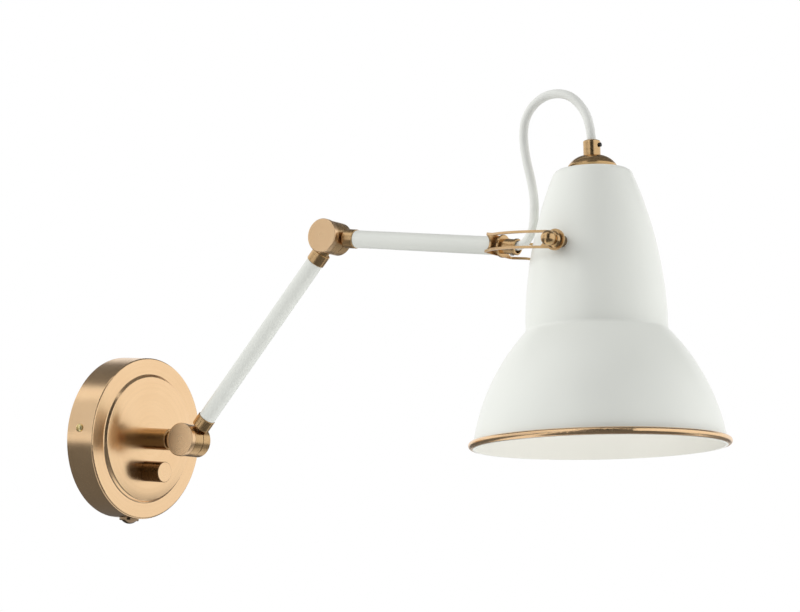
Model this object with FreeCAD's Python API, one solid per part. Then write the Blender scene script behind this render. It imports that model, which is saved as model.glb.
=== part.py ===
"""Articulating wall lamp: a round rose, two tubular arms with knuckle joints, a fork and a bell shade.

Millimetres.  The wall is the plane y = 0, the lamp reaches out along -Y, +Z is up, and the origin is
the centre of the rose on the wall.  Every hinge axis of the arms lies along X.
Each sub-part is built in the frame that suits it and is then placed:
    wall frame   local z runs out of the wall, local y is up
    joint frame  local x is the hinge axis, local z runs along the arm or the neck
    shade frame  local z runs up the axis of the shade, from the plane of its mouth
"""

import FreeCAD, Part

import math
import os

from FreeCAD import Placement, Rotation, Vector

# ---------------------------------------------------------------- driving dimensions
ROSE_RADIUS = 59.5
ROSE_RIM_DEPTH = 24.5          # wall to the front edge of the rose
ROSE_SHEET = 1.2
ROSE_EDGE_FILLET = 1.2
ROSE_OUTER_RING_RISE = 0.2     # the outer ring slopes up a little to the step
STEP_OUTER_RADIUS = 47.4
STEP_INNER_RADIUS = 45.8
STEP_RISE = 2.3
STEP_FILLET = 0.9
DISC_FLAT_RADIUS = 32.0
DISC_RISE = 0.9                # the last gentle rise to the flat middle

PLATE_RADIUS = 52.0
PLATE_THICKNESS = 1.5
PLATE_CABLE_HOLE_RADIUS = 15.0
WALL_SCREW_SPACING = 70.0
WALL_SLOT_LENGTH = 15.0
WALL_SLOT_RADIUS = 2.5
TAB_GAP = 0.4
TAB_HALF_WIDTH = 6.0
SIDE_SCREW_Z = 2.8
SIDE_SCREW_DEPTH = 11.6
SIDE_SCREW_RADIUS = 1.75
SIDE_SCREW_HEAD_RADIUS = 2.9
SIDE_SCREW_HEAD_HEIGHT = 2.2
DOME_SCREW_DEPTH = 13.2
DOME_SCREW_RADIUS = 2.5
DOME_FLANGE_RADIUS = 7.3
DOME_FLANGE_HEIGHT = 1.9
DOME_RADIUS = 5.4
DOME_HEIGHT = 2.3

STEM_RADIUS = 7.9
STEM_LENGTH = 20.0             # from the face of the rose to the swivel gap
STEM_SHANK_RADIUS = 5.0
STEM_SHANK_LENGTH = 8.5
STEM_NUT_FLATS = 15.0
WIRE_BORE_RADIUS = 2.5
SWIVEL_WASHER = 0.5
SWIVEL_WASHER_RADIUS = 6.0
SPIGOT_RADIUS = 4.0
SPIGOT_LENGTH = 13.5
GROOVE_RADIUS = 3.1
GROOVE_WIDTH = 3.0
RETAINER_RADIUS = 1.2
RUNNING_FIT = 0.05

KNOB_OFFSET = 24.0             # dimmer knob below the stem
KNOB_RADIUS = 7.6
KNOB_LENGTH = 16.0
KNOB_GAP = 0.3
DIMMER_BODY = 24.0
DIMMER_BODY_DEPTH = 12.0
DIMMER_BUSH_RADIUS = 3.5
DIMMER_SHAFT_RADIUS = 3.0
DIMMER_NUT_HEIGHT = 2.0

SHOULDER_DEPTH = 67.0          # wall to the shoulder axis
LOWER_ARM = 187.4              # shoulder axis to elbow axis
LOWER_ARM_RISE = 52.1          # degrees above the outward horizontal
UPPER_ARM = 216.4              # elbow axis to shade pivot
UPPER_ARM_RISE = -3.1
TUBE_RADIUS = 6.2
TUBE_WALL = 1.0
FERRULE_RADIUS = 6.75
FERRULE_START = 13.2           # distance from the hinge axis
FERRULE_END = 21.8
SOCKET_DEPTH = 12.0            # how far a fitting reaches into its tube
LEAD_RADIUS = 3.0
LEAD_CLEARANCE = 0.1

HUB_RADIUS = 11.7              # drum of a knuckle, half of it on each arm
HUB_HALF = 8.2
HUB_SPLIT = 0.2                # inner face of the half beside the disc
HUB_CLEARANCE = 0.3
FRICTION_WASHER = 0.4
FRICTION_WASHER_RADIUS = 9.0
HALF_NECK_RADIUS = 6.0
SHOULDER_NECK_RADIUS = 6.4
DISC_RADIUS = 12.1             # flat head of the pivot bolt
DISC_THICKNESS = 4.1
PIVOT_RADIUS = 2.5
PIVOT_SOCKET_FLATS = 3.0

FORK_ROOT = 75.0               # web to shade pivot
FORK_SHEET = 1.5
FORK_WEB_HALF = 15.6
FORK_WAIST_X = 39.3
FORK_WAIST = 41.2
FORK_TOE_X = 49.5
FORK_TOE = 6.5
FORK_BEND = 3.0
FORK_LEG_BEND = 170.0
FORK_TOE_BEND = 12.0
FORK_ROOT_HEIGHT = 13.4
FORK_TOE_HEIGHT = 11.7
FORK_EAR_LENGTH = 8.0          # along the arm, from the web to the even part of the strips
FORK_STRIP = 1.6
EYE_RADIUS = 6.9
RELIEF_RADIUS = 4.9
NIPPLE_RADIUS = 4.0
NIPPLE_BORE_RADIUS = 3.3
NIPPLE_BACK = 17.0             # how far the nipple reaches behind the web
NIPPLE_FRONT = 8.6
CIRCLIP_RADIUS = 4.9
CIRCLIP_THICKNESS = 0.8
FLANGE_RADIUS = 7.8
FLANGE_THICKNESS = 1.8
SPRING_WASHER_RADIUS = 5.9
SPRING_WASHER_THICKNESS = 1.7
BARREL_RADIUS = 5.1
BARREL_LENGTH = 11.3
BARREL_RIM_RADIUS = 5.6
BARREL_RIM_LENGTH = 1.8
BARREL_MOUTH_RADIUS = 4.3
GRUB_RADIUS = 1.4
GRUB_PROUD = 0.9

SHADE_TILT = 6.1               # degrees, the top leans towards the wall
PIVOT_HEIGHT = 129.3           # shade pivot above the plane of the mouth
SHADE_WALL = 1.2
MOUTH_RADIUS = 82.0
BELL_BULGE = 0.08              # rise of the bell's arc above its chord, as a share of the chord
WAIST_RADIUS = 46.2
WAIST_SHARE = 0.4162           # waist height as a share of the crown height
WAIST_FILLET = 3.0
CONE_BULGE = 0.0483            # the same share for the tall part of the shade
SHOULDER_RADIUS = 26.4
SHOULDER_DROP = 4.1            # crown down to the start of the shoulder
CROWN_RADIUS = 16.5
CROWN_HEIGHT = 183.3
SHADE_FOOT = 0.3               # lower edge of the spun shade
BEAD_LIFT = 0.2                # bottom of the bead above that edge
BEAD_RADIUS = 2.3
BEAD_OFFSET = 0.5              # bead centre beyond the edge of the mouth
CORD_RADIUS = 3.0

CAP_RADIUS = 16.0
CAP_LIP = 2.5
CAP_HEIGHT = 9.0
CAP_SWELL = 3.8                # height of the slope's middle above the lip
GLAND_RADIUS = 5.65
GLAND_LENGTH = 10.4
HOLDER_NIPPLE_RADIUS = 4.9
HOLDER_NIPPLE_TOP = 12.8       # above the crown of the shade
HOLDER_NUT_FLATS = 14.0
HOLDER_NUT_HEIGHT = 3.0
HOLDER_CAP_HEIGHT = 22.0
HOLDER_CAP_RADIUS = 17.6
HOLDER_BODY_HEIGHT = 30.0
HOLDER_BODY_RADIUS = 19.8
HOLDER_THREAD_RADIUS = 13.6
HOLDER_FLOOR = 4.0
SHELL_CONTACT_WALL = 0.35
BULB_BASE_RADIUS = 13.1
BULB_BASE_LENGTH = 24.0
BULB_RADIUS = 30.0
BULB_LENGTH = 82.0
BULB_GLASS = 0.8

BUSH_FLANGE_RADIUS = 4.0
BUSH_SHANK_RADIUS = 3.0
BUSH_REACH = 36.2              # inner end of the pivot bush, from the shade axis
BUSH_NUT_FLATS = 8.0
BUSH_NUT_HEIGHT = 3.0
BUSH_WASHER = 0.5
JOURNAL_RADIUS = 3.0
STUD_RADIUS = 1.7
BALL_RADIUS = 4.9
BALL_CENTRE = 7.3              # ball centre beyond the outer face of the fork eye
KNOB_SKIRT_RADIUS = 5.6

# Free loop of flex between the barrel and the gland: hand-set points (y, z) in the plane x = 0.
CORD_ROUTE = [
    (-348.5, 147.5), (-350.2, 157.0), (-348.6, 176.0), (-337.0, 207.5), (-336.8, 229.0),
    (-350.5, 242.0), (-369.5, 242.4), (-383.5, 230.5),
]
CORD_BEYOND_BARREL = 2.7       # straight run before the first bend
CORD_ABOVE_GLAND = 6.8
CORD_IN_GLAND = 4.0

# ---------------------------------------------------------------- derived places
X_AXIS = Vector(1, 0, 0)
Y_AXIS = Vector(0, 1, 0)
Z_AXIS = Vector(0, 0, 1)
ORIGIN = Vector(0, 0, 0)

RING_TOP = ROSE_RIM_DEPTH + ROSE_OUTER_RING_RISE
STEP_TOP = RING_TOP + STEP_RISE
ROSE_FACE = STEP_TOP + DISC_RISE
STEM_END = ROSE_FACE + STEM_LENGTH
NECK_START = STEM_END + SWIVEL_WASHER
TUBE_BORE = TUBE_RADIUS - TUBE_WALL
LEAD_BORE = LEAD_RADIUS + LEAD_CLEARANCE
FAR_START = HUB_SPLIT + FRICTION_WASHER
DISC_BACK = -HUB_HALF - FRICTION_WASHER

FORK_WEB = UPPER_ARM - FORK_ROOT
WEB_BACK = FORK_WEB - FORK_SHEET / 2
WEB_FRONT = FORK_WEB + FORK_SHEET / 2
UPPER_TUBE_END = WEB_BACK - FRICTION_WASHER
FLANGE_BACK = WEB_FRONT + SPRING_WASHER_THICKNESS
FLANGE_FRONT = FLANGE_BACK + FLANGE_THICKNESS
BARREL_END = FLANGE_FRONT + BARREL_LENGTH
EYE_OUTER = FORK_TOE_X + FORK_SHEET / 2
EYE_INNER = FORK_TOE_X - FORK_SHEET / 2
GLAND_BASE = CROWN_HEIGHT + CAP_HEIGHT
GLAND_TOP = GLAND_BASE + GLAND_LENGTH
WAIST_HEIGHT = CROWN_HEIGHT * WAIST_SHARE
SHOULDER_HEIGHT = CROWN_HEIGHT - SHOULDER_DROP
CROWN_INSIDE = CROWN_HEIGHT - SHADE_WALL
HOLDER_TOP = CROWN_INSIDE - HOLDER_NUT_HEIGHT
HOLDER_WAIST = HOLDER_TOP - HOLDER_CAP_HEIGHT
HOLDER_FOOT = HOLDER_WAIST - HOLDER_BODY_HEIGHT
BULB_TOP = HOLDER_WAIST - HOLDER_FLOOR - 3.0
BULB_NECK = BULB_TOP - BULB_BASE_LENGTH

SHOULDER = Vector(0, -SHOULDER_DEPTH, 0)
WALL_FRAME = Placement(ORIGIN, Rotation(X_AXIS, 90))


def joint_frame(joint, rise):
    """A frame at a joint whose local z points outward, `rise` degrees above the horizontal."""
    return Placement(joint, Rotation(X_AXIS, 90 - rise))


LOWER_FRAME = joint_frame(SHOULDER, LOWER_ARM_RISE)
ELBOW = LOWER_FRAME.multVec(Vector(0, 0, LOWER_ARM))
UPPER_FRAME = joint_frame(ELBOW, UPPER_ARM_RISE)
SHADE_PIVOT = UPPER_FRAME.multVec(Vector(0, 0, UPPER_ARM))
SHADE_TURN = Rotation(X_AXIS, -SHADE_TILT)
MOUTH_CENTRE = SHADE_PIVOT - SHADE_TURN.multVec(Vector(0, 0, PIVOT_HEIGHT))
SHADE_FRAME = Placement(MOUTH_CENTRE, SHADE_TURN)
NECK_FRAME = Placement(SHOULDER, Rotation(X_AXIS, -90))
ELBOW_NECK_FRAME = Placement(ELBOW, Rotation(X_AXIS, 270 - LOWER_ARM_RISE))


# ---------------------------------------------------------------- shape helpers
def placed(shape, frame):
    """The shape moved from its own frame into the lamp's frame."""
    return shape.transformed(frame.toMatrix())


def rod(radius, start, end, axis=Z_AXIS, at=ORIGIN):
    """A cylinder from `start` to `end` along an axis through `at`."""
    return Part.makeCylinder(radius, end - start, at + axis * start, axis)


def tube(outer, inner, start, end, axis=Z_AXIS, at=ORIGIN):
    """A hollow cylinder."""
    return rod(outer, start, end, axis, at).cut(rod(inner, start - 1, end + 1, axis, at))


def block(x_range, y_range, z_range):
    """A box between two corners."""
    size = [high - low for low, high in (x_range, y_range, z_range)]
    return Part.makeBox(*size, Vector(x_range[0], y_range[0], z_range[0]))


def hexagon(flats, start, end, axis=Z_AXIS, at=ORIGIN):
    """A hexagonal prism of the given width across its flats."""
    corner = flats / math.sqrt(3)
    points = []
    for step in range(7):
        angle = math.radians(60 * step)
        points.append(Vector(corner * math.cos(angle), corner * math.sin(angle), start))
    prism = Part.Face(Part.makePolygon(points)).extrude(Vector(0, 0, end - start))
    return placed(prism, Placement(at, Rotation(Z_AXIS, axis)))


def outline(start, *steps):
    """Edges in the x-z plane.  A step is a point, or a pair (middle, end) that makes an arc."""
    edges = []
    here = Vector(start[0], 0, start[1])
    for step in steps:
        if isinstance(step[0], tuple):
            middle = Vector(step[0][0], 0, step[0][1])
            end = Vector(step[1][0], 0, step[1][1])
            edges.append(Part.Arc(here, middle, end).toShape())
        else:
            end = Vector(step[0], 0, step[1])
            edges.append(Part.LineSegment(here, end).toShape())
        here = end
    return edges


def lathe(start, *steps):
    """A solid turned about z from a closed outline of (radius, height) points."""
    wire = Part.Wire(outline(start, *steps, start))
    return Part.Face(wire).revolve(ORIGIN, Z_AXIS, 360)


def dome_arc(radius, base, height):
    """The arc step of a shallow dome whose sphere is centred on the axis."""
    sphere = (radius * radius + height * height) / (2 * height)
    centre = base + height - sphere
    half = math.asin(radius / sphere) / 2
    return ((sphere * math.sin(half), centre + sphere * math.cos(half)), (0, base + height))


def soften(shape, radius, wanted):
    """Fillet the edges that `wanted` picks."""
    return shape.makeFillet(radius, [edge for edge in shape.Edges if wanted(edge)])


def circle_at(edge, axis_name, value, radius):
    """Whether an edge is the full circle of this radius at this height along an axis."""
    if edge.Curve.TypeId != "Part::GeomCircle":
        return False
    centre = getattr(edge.Curve.Center, axis_name)
    return abs(centre - value) < 0.01 and abs(edge.Curve.Radius - radius) < 0.01


def rounded_path(points, radii):
    """Straight runs joined by tangent arcs, one radius for each inner point."""
    edges = []
    here = points[0]
    for before, corner, after, radius in zip(points, points[1:], points[2:], radii):
        back = (before - corner).normalize()
        ahead = (after - corner).normalize()
        half = math.acos(max(-1.0, min(1.0, back.dot(ahead)))) / 2
        reach = radius / math.tan(half)
        middle_dir = (back + ahead).normalize()
        middle = corner + middle_dir * (radius / math.sin(half) - radius)
        start = corner + back * reach
        end = corner + ahead * reach
        edges.append(Part.LineSegment(here, start).toShape())
        edges.append(Part.Arc(start, middle, end).toShape())
        here = end
    edges.append(Part.LineSegment(here, points[-1]).toShape())
    return Part.Wire(edges)


def cord_radii(points):
    """The largest bend radius at each inner point: 0.45 of the shorter run over tan(half the turn)."""
    radii = []
    for before, corner, after in zip(points, points[1:], points[2:]):
        turn = (corner - before).getAngle(after - corner)
        shorter = min((corner - before).Length, (after - corner).Length)
        radii.append(0.45 * shorter / math.tan(turn / 2))
    return radii


def cord(points, radius, name):
    """A round cord along a route, with its bend radii and its volume printed."""
    radii = cord_radii(points)
    path = rounded_path(points, radii)
    ring = Part.Wire(Part.Circle(points[0], points[1] - points[0], radius).toShape())
    solid = path.makePipeShell([ring], True, False)
    expected = math.pi * radius * radius * path.Length
    print(name, "length", round(path.Length, 1), "radii", [round(value, 1) for value in radii],
          "volume ratio", round(solid.Volume / expected, 4))
    return solid


# ---------------------------------------------------------------- rose and wall plate
def rose_cover():
    """Spun cover with a raised, gently domed middle and holes for everything it carries."""
    edge = ROSE_EDGE_FILLET
    bend = edge * (1 - math.sqrt(0.5))
    outer = lathe(
        (0, 0), (ROSE_RADIUS, 0), (ROSE_RADIUS, ROSE_RIM_DEPTH - edge),
        ((ROSE_RADIUS - bend, ROSE_RIM_DEPTH - bend), (ROSE_RADIUS - edge, ROSE_RIM_DEPTH)),
        (STEP_OUTER_RADIUS, RING_TOP), (STEP_INNER_RADIUS, STEP_TOP),
        ((STEP_INNER_RADIUS - (STEP_INNER_RADIUS - DISC_FLAT_RADIUS) * 0.4, STEP_TOP + DISC_RISE * 0.65),
         (DISC_FLAT_RADIUS, ROSE_FACE)), (0, ROSE_FACE))
    for height, radius in ((RING_TOP, STEP_OUTER_RADIUS), (STEP_TOP, STEP_INNER_RADIUS)):
        outer = soften(outer, STEP_FILLET, lambda edge: circle_at(edge, "z", height, radius))
    skin = ROSE_SHEET
    cavity = lathe(
        (0, -1), (ROSE_RADIUS - skin, -1), (ROSE_RADIUS - skin, ROSE_RIM_DEPTH - skin),
        (STEP_OUTER_RADIUS - skin / 2, RING_TOP - skin), (STEP_INNER_RADIUS - skin / 2, STEP_TOP - skin),
        (DISC_FLAT_RADIUS, ROSE_FACE - skin), (0, ROSE_FACE - skin))
    cover = outer.cut(cavity)
    stem_hole = rod(STEM_SHANK_RADIUS, 0, ROSE_FACE + 1)
    dimmer_hole = rod(DIMMER_BUSH_RADIUS, 0, ROSE_FACE + 1, at=Vector(0, -KNOB_OFFSET, 0))
    side_holes = rod(SIDE_SCREW_RADIUS + 0.15, -ROSE_RADIUS - 1, ROSE_RADIUS + 1, X_AXIS,
                     Vector(0, SIDE_SCREW_Z, SIDE_SCREW_DEPTH))
    dome_hole = rod(DOME_SCREW_RADIUS + 0.15, 0, ROSE_RADIUS + 1, -Y_AXIS, Vector(0, 0, DOME_SCREW_DEPTH))
    return placed(cover.cut([stem_hole, dimmer_hole, side_holes, dome_hole]), WALL_FRAME)


def wall_plate():
    """Steel plate screwed to the wall, with three bent tabs that take the cover screws."""
    inside = ROSE_RADIUS - ROSE_SHEET
    tab_face = inside - TAB_GAP
    side_reach = SIDE_SCREW_DEPTH + 5
    plate = rod(PLATE_RADIUS, 0, PLATE_THICKNESS)
    side_low = SIDE_SCREW_Z - TAB_HALF_WIDTH
    side_high = SIDE_SCREW_Z + TAB_HALF_WIDTH
    side_face = math.sqrt(tab_face ** 2 - side_high ** 2)
    bar = block((-side_face, side_face), (side_low, side_high), (0, PLATE_THICKNESS))
    tabs = []
    for side in (-1, 1):
        x_range = sorted((side * side_face, side * (side_face - PLATE_THICKNESS)))
        tabs.append(block(x_range, (side_low, side_high), (0, side_reach)))
    foot = math.sqrt(tab_face ** 2 - TAB_HALF_WIDTH ** 2)
    tongue = block((-TAB_HALF_WIDTH, TAB_HALF_WIDTH), (-foot, 0), (0, PLATE_THICKNESS))
    foot_tab = block((-TAB_HALF_WIDTH, TAB_HALF_WIDTH), (-foot, -foot + PLATE_THICKNESS),
                     (0, DOME_SCREW_DEPTH + 5))
    body = plate.fuse([bar, tongue, foot_tab] + tabs).removeSplitter()
    cuts = [rod(PLATE_CABLE_HOLE_RADIUS, -1, PLATE_THICKNESS + 1)]
    cuts.append(rod(SIDE_SCREW_RADIUS, -ROSE_RADIUS, ROSE_RADIUS, X_AXIS,
                    Vector(0, SIDE_SCREW_Z, SIDE_SCREW_DEPTH)))
    cuts.append(rod(DOME_SCREW_RADIUS, PLATE_RADIUS, ROSE_RADIUS, -Y_AXIS, Vector(0, 0, DOME_SCREW_DEPTH)))
    half = WALL_SLOT_LENGTH / 2 - WALL_SLOT_RADIUS
    for side in (-1, 1):
        centre = side * WALL_SCREW_SPACING / 2
        cuts.append(block((centre - half, centre + half), (-WALL_SLOT_RADIUS, WALL_SLOT_RADIUS),
                          (-1, PLATE_THICKNESS + 1)))
        for end in (-half, half):
            cuts.append(rod(WALL_SLOT_RADIUS, -1, PLATE_THICKNESS + 1, at=Vector(centre + end, 0, 0)))
    return placed(body.cut(cuts), WALL_FRAME)


def cover_side_screws():
    """Two pan-head screws with crossed slots, left and right of the rose."""
    cavity = ROSE_RADIUS - ROSE_SHEET - TAB_GAP - PLATE_THICKNESS - 3
    radius = SIDE_SCREW_HEAD_RADIUS
    top = ROSE_RADIUS + SIDE_SCREW_HEAD_HEIGHT
    edge = ROSE_RADIUS + 0.7
    seat = ROSE_RADIUS - 0.5
    head = lathe((0, seat), (radius, seat), (radius, edge), dome_arc(radius, edge, top - edge))
    for spread in ((1.7, 0.35), (0.35, 1.7)):
        head = head.cut(block((-spread[0], spread[0]), (-spread[1], spread[1]), (top - 1.1, top + 1)))
    shank = rod(SIDE_SCREW_RADIUS, cavity, ROSE_RADIUS + 0.5)
    cover = placed(rod(ROSE_RADIUS, 0, ROSE_RIM_DEPTH), WALL_FRAME)
    shapes = []
    for side in (-1, 1):
        frame = Placement(Vector(0, -SIDE_SCREW_DEPTH, SIDE_SCREW_Z), Rotation(Y_AXIS, 90 * side))
        shapes.append(placed(head, frame).cut(cover).fuse(placed(shank, frame)))
    return Part.makeCompound(shapes)


def bottom_dome_screw():
    """Flanged, domed screw under the rose."""
    seat = ROSE_RADIUS - 0.5
    flange_top = ROSE_RADIUS + DOME_FLANGE_HEIGHT
    head = lathe((0, seat), (DOME_FLANGE_RADIUS, seat), (DOME_FLANGE_RADIUS, flange_top - 0.6),
                 (DOME_FLANGE_RADIUS - 0.6, flange_top), (DOME_RADIUS, flange_top),
                 dome_arc(DOME_RADIUS, flange_top, DOME_HEIGHT))
    skin = rod(ROSE_RADIUS, -10, 10, Y_AXIS)
    shank = rod(DOME_SCREW_RADIUS, ROSE_RADIUS - 7, ROSE_RADIUS + 0.5)
    frame = Placement(Vector(0, -DOME_SCREW_DEPTH, 0), Rotation(X_AXIS, 180))
    return placed(head.cut(skin).fuse(shank), frame)


def stem():
    """Fixed stem with a threaded shank through the cover and a bored end for the swivel."""
    body = rod(STEM_RADIUS, ROSE_FACE, STEM_END)
    body = soften(body, 0.5, lambda edge: circle_at(edge, "z", STEM_END, STEM_RADIUS))
    body = body.fuse(rod(STEM_SHANK_RADIUS, ROSE_FACE - STEM_SHANK_LENGTH, ROSE_FACE))
    bore = rod(WIRE_BORE_RADIUS, 0, STEM_END)
    socket = rod(SPIGOT_RADIUS + RUNNING_FIT, STEM_END - SPIGOT_LENGTH, STEM_END + 1)
    retainer = rod(RETAINER_RADIUS, 0, STEM_RADIUS + 1, X_AXIS, Vector(0, 0, groove_depth()))
    return placed(body.cut([bore, socket, retainer]), WALL_FRAME)


def groove_depth():
    """Distance from the wall to the retaining groove in the swivel spigot."""
    return STEM_END - SPIGOT_LENGTH / 2


def stem_retainer_screw():
    """Headless screw that holds the swivel in the stem."""
    screw = rod(RETAINER_RADIUS, GROOVE_RADIUS + 0.3, STEM_RADIUS - 0.2, X_AXIS, Vector(0, 0, groove_depth()))
    return placed(screw, WALL_FRAME)


def stem_washer():
    """Steel washer under the stem nut, inside the cover."""
    top = ROSE_FACE - ROSE_SHEET
    return placed(tube(10.0, STEM_SHANK_RADIUS, top - 1.2, top), WALL_FRAME)


def stem_nut():
    """Hexagon nut that clamps the stem to the cover."""
    top = ROSE_FACE - ROSE_SHEET - 1.2
    nut = hexagon(STEM_NUT_FLATS, top - 4.0, top).cut(rod(STEM_SHANK_RADIUS, 0, top + 1))
    return placed(nut, WALL_FRAME)


# ---------------------------------------------------------------- electrics in the rose
BLOCK_BOTTOM = 22.0
BLOCK_TOP = 36.0
BLOCK_HALF = 17.0
BLOCK_FRONT = 15.5


def terminal_block():
    """Three-way terminal block with its wire holes and screw wells."""
    body = block((-BLOCK_HALF, BLOCK_HALF), (BLOCK_BOTTOM, BLOCK_TOP), (PLATE_THICKNESS, BLOCK_FRONT))
    cuts = []
    for x in (-11, 0, 11):
        cuts.append(rod(2.2, BLOCK_BOTTOM - 1, BLOCK_TOP + 1, Y_AXIS, Vector(x, 0, 7)))
        for y in (BLOCK_BOTTOM + 4, BLOCK_TOP - 4):
            cuts.append(rod(2.0, 9, BLOCK_FRONT + 1, at=Vector(x, y, 0)))
    return placed(body.cut(cuts), WALL_FRAME)


def terminal_screws():
    """Six clamp screws, two for each way of the block."""
    screws = []
    for x in (-11, 0, 11):
        for y in (BLOCK_BOTTOM + 4, BLOCK_TOP - 4):
            screws.append(rod(2.0, 9.5, BLOCK_FRONT - 1.5, at=Vector(x, y, 0)))
    return placed(Part.makeCompound(screws), WALL_FRAME)


def rose_leads():
    """Four short insulated wires: two up the stem and two to the dimmer."""
    start = BLOCK_BOTTOM
    stem_entry = ROSE_FACE - STEM_SHANK_LENGTH
    dimmer_top = DIMMER_BODY / 2 - KNOB_OFFSET
    routes = []
    for side in (-1, 1):
        x = side * 1.2
        routes.append([(x, start, 7), (x, start - 9, 8), (x, 4, 11), (x, 0, stem_entry - 2),
                       (x, 0, stem_entry + 3)])
        routes.append([(side * 11, start, 7), (side * 11, start - 7, 8), (side * 9.5, 2, 12),
                       (side * 8, dimmer_top + 5, 17), (side * 8, dimmer_top, 17)])
    wires = []
    for route in routes:
        points = [Vector(*point) for point in route]
        wires.append(cord(points, 1.0, "rose lead"))
    return placed(Part.makeCompound(wires), WALL_FRAME)


def dimmer_face():
    """Depth of the front of the dimmer's case."""
    return ROSE_FACE - ROSE_SHEET - 1.4


def dimmer_body():
    """Rotary dimmer behind the cover, with its threaded bush through the face."""
    half = DIMMER_BODY / 2
    face = dimmer_face()
    centre = Vector(0, -KNOB_OFFSET, 0)
    case = block((-half, half), (-KNOB_OFFSET - half, -KNOB_OFFSET + half), (face - DIMMER_BODY_DEPTH, face))
    bush = rod(DIMMER_BUSH_RADIUS, face - 2, ROSE_FACE + DIMMER_NUT_HEIGHT + 0.8, at=centre)
    well = rod(DIMMER_SHAFT_RADIUS + RUNNING_FIT, face - 6, ROSE_FACE + 10, at=centre)
    return placed(case.fuse(bush).cut(well), WALL_FRAME)


def dimmer_nut():
    """Thin nut on the face of the rose, hidden in the knob's recess."""
    centre = Vector(0, -KNOB_OFFSET, 0)
    nut = hexagon(10.0, ROSE_FACE, ROSE_FACE + DIMMER_NUT_HEIGHT, at=centre)
    return placed(nut.cut(rod(DIMMER_BUSH_RADIUS, 0, ROSE_FACE + 10, at=centre)), WALL_FRAME)


def knob_end():
    """Depth of the knob's outer face."""
    return ROSE_FACE + KNOB_GAP + KNOB_LENGTH


def dimmer_shaft():
    """Turning spindle of the dimmer."""
    centre = Vector(0, -KNOB_OFFSET, 0)
    return placed(rod(DIMMER_SHAFT_RADIUS, dimmer_face() - 5.5, knob_end() - 4, at=centre), WALL_FRAME)


def dimmer_knob():
    """Plain cylindrical knob, bored for the spindle and recessed over the nut."""
    centre = Vector(0, -KNOB_OFFSET, 0)
    base = ROSE_FACE + KNOB_GAP
    body = rod(KNOB_RADIUS, base, knob_end(), at=centre)
    body = soften(body, 0.45, lambda edge: circle_at(edge, "z", knob_end(), KNOB_RADIUS))
    recess = rod(6.2, base - 1, ROSE_FACE + DIMMER_NUT_HEIGHT + 1.2, at=centre)
    bore = rod(DIMMER_SHAFT_RADIUS, base, knob_end() - 4, at=centre)
    return placed(body.cut([recess, bore]), WALL_FRAME)


# ---------------------------------------------------------------- knuckles
def round_edges(shape, radius):
    """Fillet every full circle of a shape."""
    return soften(shape, radius, lambda edge: edge.Curve.TypeId == "Part::GeomCircle")


def half_drum(side):
    """Half of a knuckle's drum: side -1 lies beside the disc and side 1 beyond it."""
    ends = (-HUB_HALF, HUB_SPLIT) if side < 0 else (FAR_START, HUB_HALF)
    return round_edges(rod(HUB_RADIUS, *ends, X_AXIS), 0.25)


def pivot_hole(radius):
    """Hole along the hinge axis through a half drum."""
    return rod(radius, -HUB_HALF - 1, HUB_HALF + 1, X_AXIS)


def pivot_bolt():
    """Disc-headed bolt: it runs in the near half of the drum and screws into the far half."""
    disc = round_edges(rod(DISC_RADIUS, DISC_BACK - DISC_THICKNESS, DISC_BACK, X_AXIS), 0.6)
    shank = rod(PIVOT_RADIUS, DISC_BACK - 1, HUB_HALF - 0.3, X_AXIS)
    socket = hexagon(PIVOT_SOCKET_FLATS, HUB_HALF - 2.3, HUB_HALF + 1, X_AXIS)
    return disc.fuse(shank).cut(socket)


def friction_washers():
    """Two thin washers: behind the disc and between the halves of the drum."""
    hole = PIVOT_RADIUS + HUB_CLEARANCE
    rings = [tube(FRICTION_WASHER_RADIUS, hole, DISC_BACK, -HUB_HALF, X_AXIS),
             tube(FRICTION_WASHER_RADIUS, hole, HUB_SPLIT, FAR_START, X_AXIS)]
    return Part.makeCompound(rings)


def arm_end(side, pivot_radius):
    """One end of an arm in one piece: half drum, half neck, ferrule and the spigot inside the tube."""
    far = 4 * HUB_RADIUS
    own = (-far, HUB_SPLIT) if side < 0 else (FAR_START, far)
    neck = rod(HALF_NECK_RADIUS, 0, FERRULE_START + 1).common(block(own, (-far, far), (-far, far)))
    ferrule = round_edges(rod(FERRULE_RADIUS, FERRULE_START, FERRULE_END), 0.4)
    spigot = rod(TUBE_BORE, FERRULE_END, FERRULE_END + SOCKET_DEPTH)
    lead = rod(LEAD_BORE, FERRULE_START - 2, FERRULE_END + SOCKET_DEPTH + 1)
    body = half_drum(side).fuse([neck, ferrule, spigot])
    return body.cut([pivot_hole(pivot_radius), lead])


def shoulder_knuckle():
    """Half drum on the stem, with the neck and the grooved spigot that turns in the stem."""
    neck_end = SHOULDER_DEPTH - NECK_START
    neck = rod(SHOULDER_NECK_RADIUS, 0, neck_end)
    neck = neck.cut(rod(HUB_RADIUS + HUB_CLEARANCE, HUB_SPLIT, 3 * HUB_HALF, X_AXIS))
    spigot_end = neck_end + SWIVEL_WASHER + SPIGOT_LENGTH - 0.5
    body = half_drum(-1).fuse([neck, rod(SPIGOT_RADIUS, neck_end, spigot_end)])
    groove_at = SHOULDER_DEPTH - groove_depth()
    low = groove_at - GROOVE_WIDTH / 2
    groove = tube(SPIGOT_RADIUS + 1, GROOVE_RADIUS, low, low + GROOVE_WIDTH)
    lead = rod(WIRE_BORE_RADIUS - 0.5, HUB_RADIUS - 2, spigot_end + 1)
    return placed(body.cut([groove, lead, pivot_hole(PIVOT_RADIUS + RUNNING_FIT)]), NECK_FRAME)


def swivel_washer():
    """Dark fibre washer in the gap between stem and knuckle."""
    return placed(tube(SWIVEL_WASHER_RADIUS, SPIGOT_RADIUS + RUNNING_FIT, STEM_END, NECK_START), WALL_FRAME)


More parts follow.
